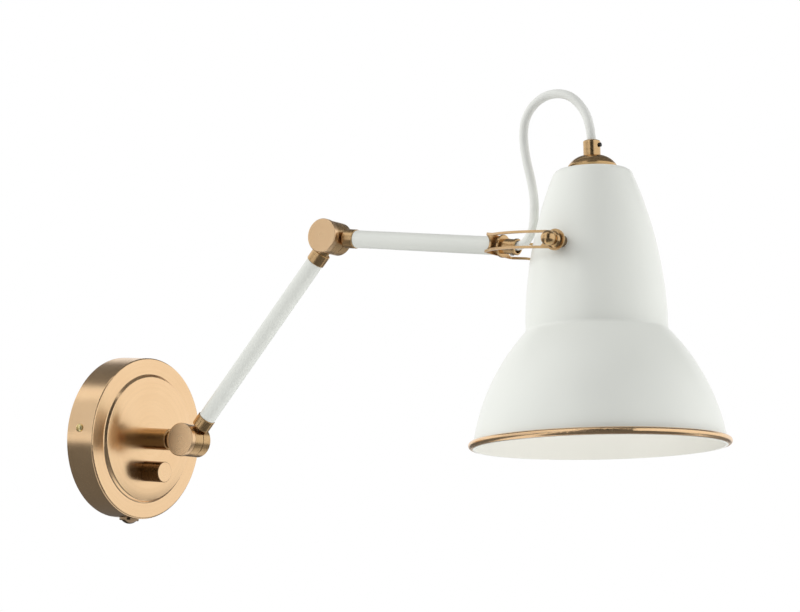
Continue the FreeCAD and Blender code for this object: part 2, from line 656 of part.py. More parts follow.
# ---------------------------------------------------------------- arms
def arm_tube(end):
    """Thin painted tube between its fittings, with softened ends."""
    body = rod(TUBE_RADIUS, FERRULE_END, end)
    body = soften(body, 0.5, lambda edge: edge.Curve.TypeId == "Part::GeomCircle")
    return body.cut(rod(TUBE_BORE, FERRULE_END - 1, end + 1))


def lower_arm_flex():
    """Flex inside the lower arm."""
    return placed(rod(LEAD_RADIUS, FERRULE_START + 0.3, LOWER_ARM - FERRULE_START - 0.3), LOWER_FRAME)


def upper_arm_flex():
    """Flex inside the upper arm, ending in the hollow nipple."""
    return placed(rod(LEAD_RADIUS, FERRULE_START + 0.3, WEB_FRONT), UPPER_FRAME)


def upper_arm_plug():
    """Bored plug in the outer end of the upper arm, in which the nipple turns."""
    plug = tube(TUBE_BORE, NIPPLE_RADIUS + RUNNING_FIT, UPPER_TUBE_END - SOCKET_DEPTH, UPPER_TUBE_END)
    return placed(plug, UPPER_FRAME)


# ---------------------------------------------------------------- fork
def fork_strip():
    """The bent strip of the fork before its windows: web, two flared legs and flat toes."""
    web = FORK_WEB
    points = [Vector(0, 0, web), Vector(-FORK_WEB_HALF, 0, web),
              Vector(-FORK_WAIST_X, 0, UPPER_ARM - FORK_WAIST),
              Vector(-FORK_TOE_X, 0, UPPER_ARM - FORK_TOE),
              Vector(-FORK_TOE_X, 0, UPPER_ARM + EYE_RADIUS + 2)]
    path = rounded_path(points, [FORK_BEND, FORK_LEG_BEND, FORK_TOE_BEND])
    half = FORK_ROOT_HEIGHT / 2 + 1
    low, high = WEB_BACK, WEB_FRONT
    section = Part.makePolygon([Vector(0, -half, low), Vector(0, half, low), Vector(0, half, high),
                                Vector(0, -half, high), Vector(0, -half, low)])
    leg = path.makePipeShell([section], True, False)
    return leg.fuse(leg.mirror(ORIGIN, X_AXIS)).removeSplitter()


def side_prism(points):
    """A prism across the whole width of the fork, from an outline of (y, z) points."""
    reach = FORK_TOE_X + 10
    corners = [Vector(-reach, y, z) for y, z in points + points[:1]]
    return Part.Face(Part.makePolygon(corners)).extrude(Vector(2 * reach, 0, 0))


def fork_bracket():
    """Fork bent from sheet: its long windows run round the bends into the web, and its toes are eyes."""
    root_half = FORK_ROOT_HEIGHT / 2
    toe_half = FORK_TOE_HEIGHT / 2
    ear_end = WEB_FRONT + FORK_EAR_LENGTH
    neck = UPPER_ARM - EYE_RADIUS - 2.2
    reach = FORK_TOE_X + 10
    silhouette = side_prism([(-root_half, WEB_BACK - 1), (root_half, WEB_BACK - 1), (root_half, WEB_FRONT),
                             (toe_half, ear_end), (toe_half, UPPER_ARM), (-toe_half, UPPER_ARM),
                             (-toe_half, ear_end), (-root_half, WEB_FRONT)])
    eyes = rod(EYE_RADIUS, -reach, reach, X_AXIS, Vector(0, 0, UPPER_ARM))
    body = fork_strip().common(silhouette.fuse(eyes))
    start = root_half - FORK_STRIP
    end = toe_half - FORK_STRIP
    body = body.cut(side_prism([(-start, WEB_FRONT), (start, WEB_FRONT), (end, ear_end),
                                (end, neck - 1.5), (end - 1.5, neck), (-end + 1.5, neck),
                                (-end, neck - 1.5), (-end, ear_end)]))
    body = body.cut(rod(JOURNAL_RADIUS + RUNNING_FIT, -reach, reach, X_AXIS, Vector(0, 0, UPPER_ARM)))
    body = body.cut(rod(NIPPLE_RADIUS, WEB_BACK - 1, WEB_FRONT + 1))
    for side in (-1, 1):
        corner = Vector(side * FORK_WEB_HALF, 0, 0)
        body = body.cut(rod(RELIEF_RADIUS, WEB_BACK - 1, WEB_FRONT + 1, at=corner))
    return placed(body, UPPER_FRAME)


def fork_nipple():
    """Hollow threaded nipple: it turns in the arm's plug and clamps the fork's web."""
    back = FORK_WEB - NIPPLE_BACK
    body = tube(NIPPLE_RADIUS, NIPPLE_BORE_RADIUS, back, FORK_WEB + NIPPLE_FRONT)
    low = UPPER_TUBE_END - SOCKET_DEPTH - CIRCLIP_THICKNESS - 0.1
    groove = tube(NIPPLE_RADIUS + 1, NIPPLE_RADIUS - 0.4, low, low + CIRCLIP_THICKNESS)
    return placed(body.cut(groove), UPPER_FRAME)


def fork_circlip():
    """Open ring that keeps the nipple in the plug."""
    low = UPPER_TUBE_END - SOCKET_DEPTH - CIRCLIP_THICKNESS - 0.1
    ring = tube(CIRCLIP_RADIUS, NIPPLE_RADIUS - 0.4, low, low + CIRCLIP_THICKNESS)
    gap = block((-1.2, 1.2), (0, CIRCLIP_RADIUS + 1), (low - 1, low + CIRCLIP_THICKNESS + 1))
    return placed(ring.cut(gap), UPPER_FRAME)


def swivel_fibre_washer():
    """Thin washer between the arm's end and the fork."""
    return placed(tube(TUBE_RADIUS - 0.4, NIPPLE_RADIUS, UPPER_TUBE_END, WEB_BACK), UPPER_FRAME)


def fork_spring_washer():
    """Spring washer between the web and the flange nut."""
    return placed(tube(SPRING_WASHER_RADIUS, NIPPLE_RADIUS, WEB_FRONT, FLANGE_BACK), UPPER_FRAME)


def fork_flange_nut():
    """Round flange nut on the nipple."""
    disc = rod(FLANGE_RADIUS, FLANGE_BACK, FLANGE_FRONT)
    disc = soften(disc, 0.5, lambda edge: edge.Curve.TypeId == "Part::GeomCircle")
    return placed(disc.cut(rod(NIPPLE_RADIUS, FLANGE_BACK - 1, FLANGE_FRONT + 1)), UPPER_FRAME)


def cord_barrel():
    """Turned barrel on the nipple; the flex leaves through its rimmed mouth."""
    rim = BARREL_END - BARREL_RIM_LENGTH
    body = lathe((0, FLANGE_FRONT), (BARREL_RADIUS, FLANGE_FRONT), (BARREL_RADIUS, rim - 0.5),
                 (BARREL_RIM_RADIUS, rim), (BARREL_RIM_RADIUS, BARREL_END - 0.4),
                 (BARREL_RIM_RADIUS - 0.4, BARREL_END), (0, BARREL_END))
    thread = rod(NIPPLE_RADIUS, FLANGE_FRONT - 1, FORK_WEB + NIPPLE_FRONT)
    mouth = rod(BARREL_MOUTH_RADIUS, FORK_WEB + NIPPLE_FRONT, BARREL_END + 1)
    grub = rod(GRUB_RADIUS, 0, BARREL_RIM_RADIUS + 1, -Y_AXIS, Vector(0, 0, grub_place()))
    return placed(body.cut([thread, mouth, grub]), UPPER_FRAME)


def grub_place():
    """Distance of the barrel's grub screw from the elbow axis."""
    return BARREL_END - BARREL_RIM_LENGTH - 2.2


def barrel_grub_screw():
    """Small steel screw that stands out under the barrel."""
    at = Vector(0, 0, grub_place())
    screw = rod(GRUB_RADIUS, BARREL_MOUTH_RADIUS - 0.3, BARREL_RADIUS + GRUB_PROUD, -Y_AXIS, at)
    socket = hexagon(1.3, BARREL_RADIUS + GRUB_PROUD - 1.2, BARREL_RADIUS + GRUB_PROUD + 1, -Y_AXIS, at)
    return placed(screw.cut(socket), UPPER_FRAME)


# ---------------------------------------------------------------- shade
def bulged_arc(start, end, bulge):
    """The arc step from one point to another that stands out from its chord by a share of it."""
    across = end[0] - start[0]
    rise = end[1] - start[1]
    middle = ((start[0] + end[0]) / 2 + rise * bulge, (start[1] + end[1]) / 2 - across * bulge)
    return (middle, end)


def waist_corner(skin):
    """The corner between bell and cone, `skin` inside the shade's surface."""
    return (WAIST_RADIUS - skin, WAIST_HEIGHT - skin * 0.4)


def shade_outline(skin, foot):
    """Half section of the shade's surface as outline steps, starting on the axis at `foot`."""
    mouth = (MOUTH_RADIUS - skin, foot)
    waist = waist_corner(skin)
    shoulder = (SHOULDER_RADIUS - skin * 0.9, SHOULDER_HEIGHT)
    brow_radius = SHOULDER_RADIUS - SHOULDER_DROP * 0.6 - skin * 0.4
    brow = (brow_radius, SHOULDER_HEIGHT + SHOULDER_DROP * 0.66 - skin)
    bend = (SHOULDER_RADIUS - SHOULDER_DROP * 0.2 - skin * 0.8,
            SHOULDER_HEIGHT + SHOULDER_DROP * 0.36 - skin * 0.6)
    crown_bend = (CROWN_RADIUS + SHOULDER_DROP * 0.48, CROWN_HEIGHT - SHOULDER_DROP * 0.1 - skin)
    return [(0, foot), mouth, bulged_arc(mouth, waist, BELL_BULGE), bulged_arc(waist, shoulder, CONE_BULGE),
            (bend, brow), (crown_bend, (CROWN_RADIUS, CROWN_HEIGHT - skin)), (0, CROWN_HEIGHT - skin)]


def shade_form(skin, foot):
    """A full solid inside the shade's surface, closed flat at `foot`."""
    waist = waist_corner(skin)
    form = lathe(*shade_outline(skin, foot))
    return soften(form, WAIST_FILLET + skin, lambda edge: circle_at(edge, "z", waist[1], waist[0]))


def shade_shell():
    """Spun metal shade with holes for the holder's nipple and the two pivot bushes."""
    shell = shade_form(0.0, SHADE_FOOT).cut(shade_form(SHADE_WALL, SHADE_FOOT - 2))
    shell = shell.cut(rod(HOLDER_NIPPLE_RADIUS, CROWN_INSIDE - 1, CROWN_HEIGHT + 1))
    reach = WAIST_RADIUS + 5
    pivots = rod(BUSH_SHANK_RADIUS, -reach, reach, X_AXIS, Vector(0, 0, PIVOT_HEIGHT))
    return placed(shell.cut(pivots), SHADE_FRAME)


def rim_trim():
    """Brass bead around the outside of the mouth; the shade's edge shows below it."""
    centre = Vector(MOUTH_RADIUS + BEAD_OFFSET, 0, SHADE_FOOT + BEAD_LIFT + BEAD_RADIUS)
    disc = Part.Face(Part.Wire(Part.makeCircle(BEAD_RADIUS, centre, Y_AXIS)))
    section = shade_outline(0.0, SHADE_FOOT)
    inside = Part.Face(Part.Wire(outline(*section, section[0])))
    bead = disc.cut(inside).Faces[0].revolve(ORIGIN, Z_AXIS, 360)
    return placed(bead, SHADE_FRAME)


def shade_cap():
    """Low brass cap between the crown of the shade and the gland."""
    top = GLAND_BASE
    base = CROWN_HEIGHT
    rim = base + CAP_LIP
    body = lathe((0, base), (CAP_RADIUS - 0.7, base), (CAP_RADIUS, rim - 0.5), (CAP_RADIUS, rim),
                 ((CAP_RADIUS - 3.4, rim + CAP_SWELL), (GLAND_RADIUS + 0.8, top)), (0, top))
    hollow = lathe((0, base - 1), (CAP_RADIUS - 2.5, base - 1), (CAP_RADIUS - 2.5, base + 1.8),
                   (CAP_RADIUS - 7.2, base + 5.0), (0, base + 5.0))
    boss = rod(HOLDER_NIPPLE_RADIUS + 1.5, base, base + 6)
    hole = rod(HOLDER_NIPPLE_RADIUS, base - 2, top + 1)
    return placed(body.cut(hollow.cut(boss)).cut(hole), SHADE_FRAME)


def cord_gland():
    """Tube on top of the cap that grips the flex."""
    body = rod(GLAND_RADIUS, GLAND_BASE, GLAND_TOP)
    body = soften(body, 0.8, lambda edge: circle_at(edge, "z", GLAND_TOP, GLAND_RADIUS))
    thread = rod(HOLDER_NIPPLE_RADIUS, GLAND_BASE - 1, CROWN_HEIGHT + HOLDER_NIPPLE_TOP + 0.5)
    grip = rod(CORD_RADIUS, GLAND_BASE, GLAND_TOP + 1)
    screw = rod(GRUB_RADIUS, 0, GLAND_RADIUS + 1, -Y_AXIS, Vector(0, 0, gland_screw_height()))
    return placed(body.cut([thread, grip, screw]), SHADE_FRAME)


def gland_screw_height():
    """Height of the grub screw in the gland."""
    return GLAND_TOP - 3.4


def gland_grub_screw():
    """Blackened grub screw on the front of the gland."""
    at = Vector(0, 0, gland_screw_height())
    screw = rod(GRUB_RADIUS, CORD_RADIUS, GLAND_RADIUS + GRUB_PROUD + 0.3, -Y_AXIS, at)
    return placed(screw, SHADE_FRAME)


def holder_nipple():
    """Hollow threaded nipple from the lampholder through the crown into the gland."""
    low = HOLDER_TOP - 6
    nipple = tube(HOLDER_NIPPLE_RADIUS, NIPPLE_BORE_RADIUS, low, CROWN_HEIGHT + HOLDER_NIPPLE_TOP)
    return placed(nipple, SHADE_FRAME)


def holder_nut():
    """Nut under the crown of the shade."""
    nut = hexagon(HOLDER_NUT_FLATS, HOLDER_TOP, CROWN_INSIDE)
    return placed(nut.cut(rod(HOLDER_NIPPLE_RADIUS, HOLDER_TOP - 1, CROWN_INSIDE + 1)), SHADE_FRAME)


def lampholder_cap():
    """Upper half of the lampholder, hollow for the wire ends."""
    brow = HOLDER_TOP - HOLDER_CAP_HEIGHT * 0.55
    bend = HOLDER_TOP - HOLDER_CAP_HEIGHT * 0.18
    outer = lathe((0, HOLDER_WAIST), (HOLDER_CAP_RADIUS, HOLDER_WAIST), (HOLDER_CAP_RADIUS, brow),
                  ((HOLDER_CAP_RADIUS - 3, bend), (HOLDER_NIPPLE_RADIUS + 4, HOLDER_TOP)),
                  (0, HOLDER_TOP))
    hollow = lathe((0, HOLDER_WAIST - 1), (HOLDER_CAP_RADIUS - 2, HOLDER_WAIST - 1),
                   (HOLDER_CAP_RADIUS - 2, HOLDER_TOP - HOLDER_CAP_HEIGHT * 0.6),
                   (HOLDER_NIPPLE_RADIUS + 1, HOLDER_TOP - 6), (0, HOLDER_TOP - 6))
    hole = rod(HOLDER_NIPPLE_RADIUS, HOLDER_WAIST, HOLDER_TOP + 1)
    return placed(outer.cut([hollow, hole]), SHADE_FRAME)


def lampholder_body():
    """Lower half of the lampholder: insulating floor and skirt."""
    outer = rod(HOLDER_BODY_RADIUS, HOLDER_FOOT, HOLDER_WAIST)
    outer = soften(outer, 1.0, lambda edge: circle_at(edge, "z", HOLDER_FOOT, HOLDER_BODY_RADIUS))
    bore = rod(HOLDER_THREAD_RADIUS, HOLDER_FOOT - 1, HOLDER_WAIST - HOLDER_FLOOR)
    return placed(outer.cut(bore), SHADE_FRAME)


def shell_contact():
    """Threaded brass sleeve in the skirt, shown plain."""
    top = HOLDER_WAIST - HOLDER_FLOOR
    inner = HOLDER_THREAD_RADIUS - SHELL_CONTACT_WALL
    return placed(tube(HOLDER_THREAD_RADIUS, inner, HOLDER_FOOT + 6, top), SHADE_FRAME)


def centre_contact():
    """Sprung centre contact on the holder's floor."""
    floor = HOLDER_WAIST - HOLDER_FLOOR
    pad = rod(3.5, BULB_TOP, BULB_TOP + 0.6)
    post = rod(1.5, BULB_TOP, floor)
    return placed(pad.fuse(post), SHADE_FRAME)


def bulb_base():
    """Screw base of the bulb: threaded shell, shown stepped, and its tip."""
    body = lathe((0, BULB_NECK), (BULB_BASE_RADIUS, BULB_NECK), (BULB_BASE_RADIUS, BULB_TOP - 4),
                 (4.5, BULB_TOP - 1), (4.5, BULB_TOP), (0, BULB_TOP))
    for turn in range(4):
        low = BULB_NECK + 5 + turn * 3.6
        body = body.cut(tube(BULB_BASE_RADIUS + 1, BULB_BASE_RADIUS - 0.7, low, low + 1.4))
    return placed(body, SHADE_FRAME)


def bulb_form(skin):
    """A full solid inside the bulb's surface."""
    low = BULB_NECK - BULB_LENGTH
    belly = low + BULB_RADIUS
    neck = BULB_BASE_RADIUS + 0.6 - skin
    slant = (BULB_RADIUS - skin) * math.sqrt(0.5)
    return lathe((0, BULB_NECK - skin), (neck, BULB_NECK - skin), (neck + 0.6, BULB_NECK - 8),
                 ((BULB_RADIUS * 0.78 - skin, belly + (BULB_NECK - belly) * 0.4),
                  (BULB_RADIUS - skin, belly)),
                 ((slant, belly - slant), (0, low + skin)))


def bulb_glass():
    """Pear-shaped glass envelope."""
    return placed(bulb_form(0.0).cut(bulb_form(BULB_GLASS)), SHADE_FRAME)


# ---------------------------------------------------------------- shade pivots
def both_sides(shape):
    """A shape on the +X side and its mirror image."""
    return Part.makeCompound([shape, shape.mirror(ORIGIN, X_AXIS)])


def pivot_bushes():
    """Threaded bushes that carry the shade: flange on the shade, journal in the fork's eye."""
    at = Vector(0, 0, PIVOT_HEIGHT)
    flange_end = EYE_INNER - BUSH_WASHER
    flange = rod(BUSH_FLANGE_RADIUS, BUSH_REACH, flange_end, X_AXIS, at).cut(shade_form(0.0, SHADE_FOOT))
    shank = rod(BUSH_SHANK_RADIUS, BUSH_REACH, flange_end, X_AXIS, at)
    journal = rod(JOURNAL_RADIUS, flange_end - 1, EYE_OUTER, X_AXIS, at)
    bore = rod(STUD_RADIUS, BUSH_REACH + 2, EYE_OUTER + 1, X_AXIS, at)
    bush = flange.fuse([shank, journal]).cut(bore)
    return placed(both_sides(bush), SHADE_FRAME)


def pivot_bush_nuts():
    """Nuts on the bushes, inside the shade."""
    at = Vector(0, 0, PIVOT_HEIGHT)
    outer_end = BUSH_REACH + BUSH_NUT_HEIGHT + 2
    nut = hexagon(BUSH_NUT_FLATS, BUSH_REACH + 0.3, outer_end, X_AXIS, at)
    nut = nut.common(shade_form(SHADE_WALL, SHADE_FOOT - 2))
    nut = nut.cut(rod(BUSH_SHANK_RADIUS, 0, outer_end + 1, X_AXIS, at))
    return placed(both_sides(nut), SHADE_FRAME)


def pivot_washers():
    """Fibre washers between the bushes and the fork's eyes."""
    at = Vector(0, 0, PIVOT_HEIGHT)
    ring = tube(BUSH_FLANGE_RADIUS, JOURNAL_RADIUS, EYE_INNER - BUSH_WASHER, EYE_INNER, X_AXIS, at)
    return placed(both_sides(ring), SHADE_FRAME)


def pivot_knob():
    """Turned thumb knob with its stud: skirt, cove, bead and ball, along local z."""
    skirt = KNOB_SKIRT_RADIUS
    ball_start = BALL_CENTRE - math.sqrt(BALL_RADIUS ** 2 - 3.4 ** 2)
    body = lathe((0, 0), (skirt, 0), (skirt, 0.6), ((4.7, 1.3), (4.2, 2.0)), ((4.6, 2.6), (4.1, 3.2)),
                 (3.4, 3.4), (3.4, ball_start), ((BALL_RADIUS, BALL_CENTRE), (0, BALL_CENTRE + BALL_RADIUS)))
    stud = rod(STUD_RADIUS - RUNNING_FIT, BUSH_REACH + 3 - EYE_OUTER, 1)
    return body.fuse(stud)


def side_knob(side):
    """The thumb knob on one side of the shade, side -1 or 1."""
    frame = Placement(Vector(side * EYE_OUTER, 0, PIVOT_HEIGHT), Rotation(Z_AXIS, X_AXIS * side))
    return placed(placed(pivot_knob(), frame), SHADE_FRAME)


def flex_cord():
    """Free loop of flex from the barrel to the gland."""
    barrel_side = [UPPER_FRAME.multVec(Vector(0, 0, FORK_WEB + NIPPLE_FRONT + 0.6)),
                   UPPER_FRAME.multVec(Vector(0, 0, BARREL_END + CORD_BEYOND_BARREL))]
    gland_side = [SHADE_FRAME.multVec(Vector(0, 0, GLAND_TOP + CORD_ABOVE_GLAND)),
                  SHADE_FRAME.multVec(Vector(0, 0, GLAND_TOP - CORD_IN_GLAND))]
    points = barrel_side + [Vector(0, y, z) for y, z in CORD_ROUTE] + gland_side
    print("flex cord points", [(round(point.y, 2), round(point.z, 2)) for point in points])
    return cord(points, CORD_RADIUS, "flex cord")


# ---------------------------------------------------------------- nodes
def lamp_nodes():
    """Every separate piece of the lamp by name."""
    return {
        "rose_cover": rose_cover(),
        "wall_plate": wall_plate(),
        "cover_side_screws": cover_side_screws(),
        "bottom_dome_screw": bottom_dome_screw(),
        "stem": stem(),
        "stem_washer": stem_washer(),
        "stem_nut": stem_nut(),
        "stem_retainer_screw": stem_retainer_screw(),
        "terminal_block": terminal_block(),
        "terminal_screws": terminal_screws(),
        "rose_leads": rose_leads(),
        "dimmer_body": dimmer_body(),
        "dimmer_nut": dimmer_nut(),
        "dimmer_shaft": dimmer_shaft(),
        "dimmer_knob": dimmer_knob(),
        "swivel_washer": swivel_washer(),
        "shoulder_knuckle": shoulder_knuckle(),
        "shoulder_pivot_bolt": placed(pivot_bolt(), LOWER_FRAME),
        "shoulder_friction_washers": placed(friction_washers(), LOWER_FRAME),
        "lower_arm_root": placed(arm_end(1, PIVOT_RADIUS), LOWER_FRAME),
        "lower_arm_tube": placed(arm_tube(LOWER_ARM - FERRULE_END), LOWER_FRAME),
        "lower_arm_flex": lower_arm_flex(),
        "elbow_knuckle": placed(arm_end(-1, PIVOT_RADIUS + RUNNING_FIT), ELBOW_NECK_FRAME),
        "elbow_pivot_bolt": placed(pivot_bolt(), UPPER_FRAME),
        "elbow_friction_washers": placed(friction_washers(), UPPER_FRAME),
        "upper_arm_root": placed(arm_end(1, PIVOT_RADIUS), UPPER_FRAME),
        "upper_arm_tube": placed(arm_tube(UPPER_TUBE_END), UPPER_FRAME),
        "upper_arm_flex": upper_arm_flex(),
        "upper_arm_plug": upper_arm_plug(),
        "swivel_fibre_washer": swivel_fibre_washer(),
        "fork_bracket": fork_bracket(),
        "fork_nipple": fork_nipple(),
        "fork_circlip": fork_circlip(),
        "fork_spring_washer": fork_spring_washer(),
        "fork_flange_nut": fork_flange_nut(),
        "cord_barrel": cord_barrel(),
        "barrel_grub_screw": barrel_grub_screw(),
        "shade_shell": shade_shell(),
        "rim_trim": rim_trim(),
        "shade_cap": shade_cap(),
        "cord_gland": cord_gland(),
        "gland_grub_screw": gland_grub_screw(),
        "holder_nipple": holder_nipple(),
        "holder_nut": holder_nut(),
        "lampholder_cap": lampholder_cap(),
        "lampholder_body": lampholder_body(),
        "shell_contact": shell_contact(),
        "centre_contact": centre_contact(),
        "bulb_base": bulb_base(),
        "bulb_glass": bulb_glass(),
        "pivot_bushes": pivot_bushes(),
        "pivot_bush_nuts": pivot_bush_nuts(),
        "pivot_washers": pivot_washers(),
        "left_pivot_knob": side_knob(-1),
        "right_pivot_knob": side_knob(1),
        "flex_cord": flex_cord(),
    }


def main():
    """Write one STEP file for each node."""
    os.makedirs("parts", exist_ok=True)
    for name, shape in lamp_nodes().items():
        print(name, "solids", len(shape.Solids), "valid", shape.isValid(), "volume", round(shape.Volume, 1))
        shape.exportStep("parts/" + name + ".step")
    for name, point in (("shoulder", SHOULDER), ("elbow", ELBOW), ("shade pivot", SHADE_PIVOT),
                        ("mouth", MOUTH_CENTRE)):
        print(name, [round(value, 3) for value in point])


main()
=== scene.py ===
"""Looks of an articulating wall lamp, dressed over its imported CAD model.

Metres throughout, in the frame of the CAD model: the wall is the plane y = 0, the lamp reaches out
along -Y, and +Z is up.
"""

import logging
import math
from dataclasses import dataclass, field
from enum import Enum

import bpy
import numpy as np
from mathutils import Matrix, Vector


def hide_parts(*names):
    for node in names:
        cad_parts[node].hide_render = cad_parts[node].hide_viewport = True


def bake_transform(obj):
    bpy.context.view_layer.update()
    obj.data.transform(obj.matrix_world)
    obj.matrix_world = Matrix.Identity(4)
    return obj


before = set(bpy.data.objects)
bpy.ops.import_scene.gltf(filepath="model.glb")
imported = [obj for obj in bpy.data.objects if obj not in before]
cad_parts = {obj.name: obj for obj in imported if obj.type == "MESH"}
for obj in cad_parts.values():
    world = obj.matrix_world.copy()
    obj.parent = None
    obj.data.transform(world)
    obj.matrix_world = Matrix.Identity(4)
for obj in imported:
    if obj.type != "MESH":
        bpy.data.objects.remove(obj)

LOG = logging.getLogger("wall_lamp")

Triple = tuple[float, float, float]

SHOULDER: Triple = (0.0, -0.067, 0.0)
ELBOW: Triple = (0.0, -0.182117, 0.147874)
SHADE_PIVOT: Triple = (0.0, -0.3982, 0.136172)
MOUTH_CENTRE: Triple = (0.0, -0.41194, 0.007604)
LOWER_RISE = math.radians(52.1)
UPPER_RISE = math.radians(-3.1)
SHADE_TILT = math.radians(6.1)

KNOB_FACE_RADIUS = 0.0072
CORD_RADIUS = 0.003
CORD_SPAN_STEPS = 24
TUBE_SIDES = 32

X_AXIS: Triple = (1.0, 0.0, 0.0)
Y_AXIS: Triple = (0.0, 1.0, 0.0)
Z_AXIS: Triple = (0.0, 0.0, 1.0)
LOWER_AXIS: Triple = (0.0, -math.cos(LOWER_RISE), math.sin(LOWER_RISE))
UPPER_AXIS: Triple = (0.0, -math.cos(UPPER_RISE), math.sin(UPPER_RISE))
SHADE_AXIS: Triple = (0.0, math.sin(SHADE_TILT), math.cos(SHADE_TILT))


# ---------------------------------------------------------------- shader graph
class Value:
    """A number in a shader, written in ordinary arithmetic."""

    def __init__(self, graph: "Graph", socket: bpy.types.NodeSocket) -> None:
        """Wrap one output socket.

        Args:
            graph: the material's graph.
            socket: the output that carries the number.
        """
        self.graph = graph
        self.socket = socket

    def _math(self, operation: str, first: "Value | float", second: "Value | float") -> "Value":
        """Add one Math node.

        Args:
            operation: the node's operation.
            first: its first number.
            second: its second number.

        Returns:
            The node's result.
        """
        node = self.graph.add("ShaderNodeMath", {"operation": operation}, {0: first, 1: second})
        return Value(self.graph, node.outputs[0])

    def __add__(self, other: "Value | float") -> "Value":
        """Sum."""
        return self._math("ADD", self, other)

    def __radd__(self, other: float) -> "Value":
        """Reflected sum."""
        return self._math("ADD", other, self)

    def __sub__(self, other: "Value | float") -> "Value":
        """Difference."""
        return self._math("SUBTRACT", self, other)

    def __rsub__(self, other: float) -> "Value":
        """Reflected difference."""
        return self._math("SUBTRACT", other, self)

    def __mul__(self, other: "Value | float") -> "Value":
        """Product."""
        return self._math("MULTIPLY", self, other)

    def __rmul__(self, other: float) -> "Value":
        """Reflected product."""
        return self._math("MULTIPLY", other, self)

    def __gt__(self, other: "Value | float") -> "Value":
        """One where this value is the greater, otherwise zero."""
        return self._math("GREATER_THAN", self, other)


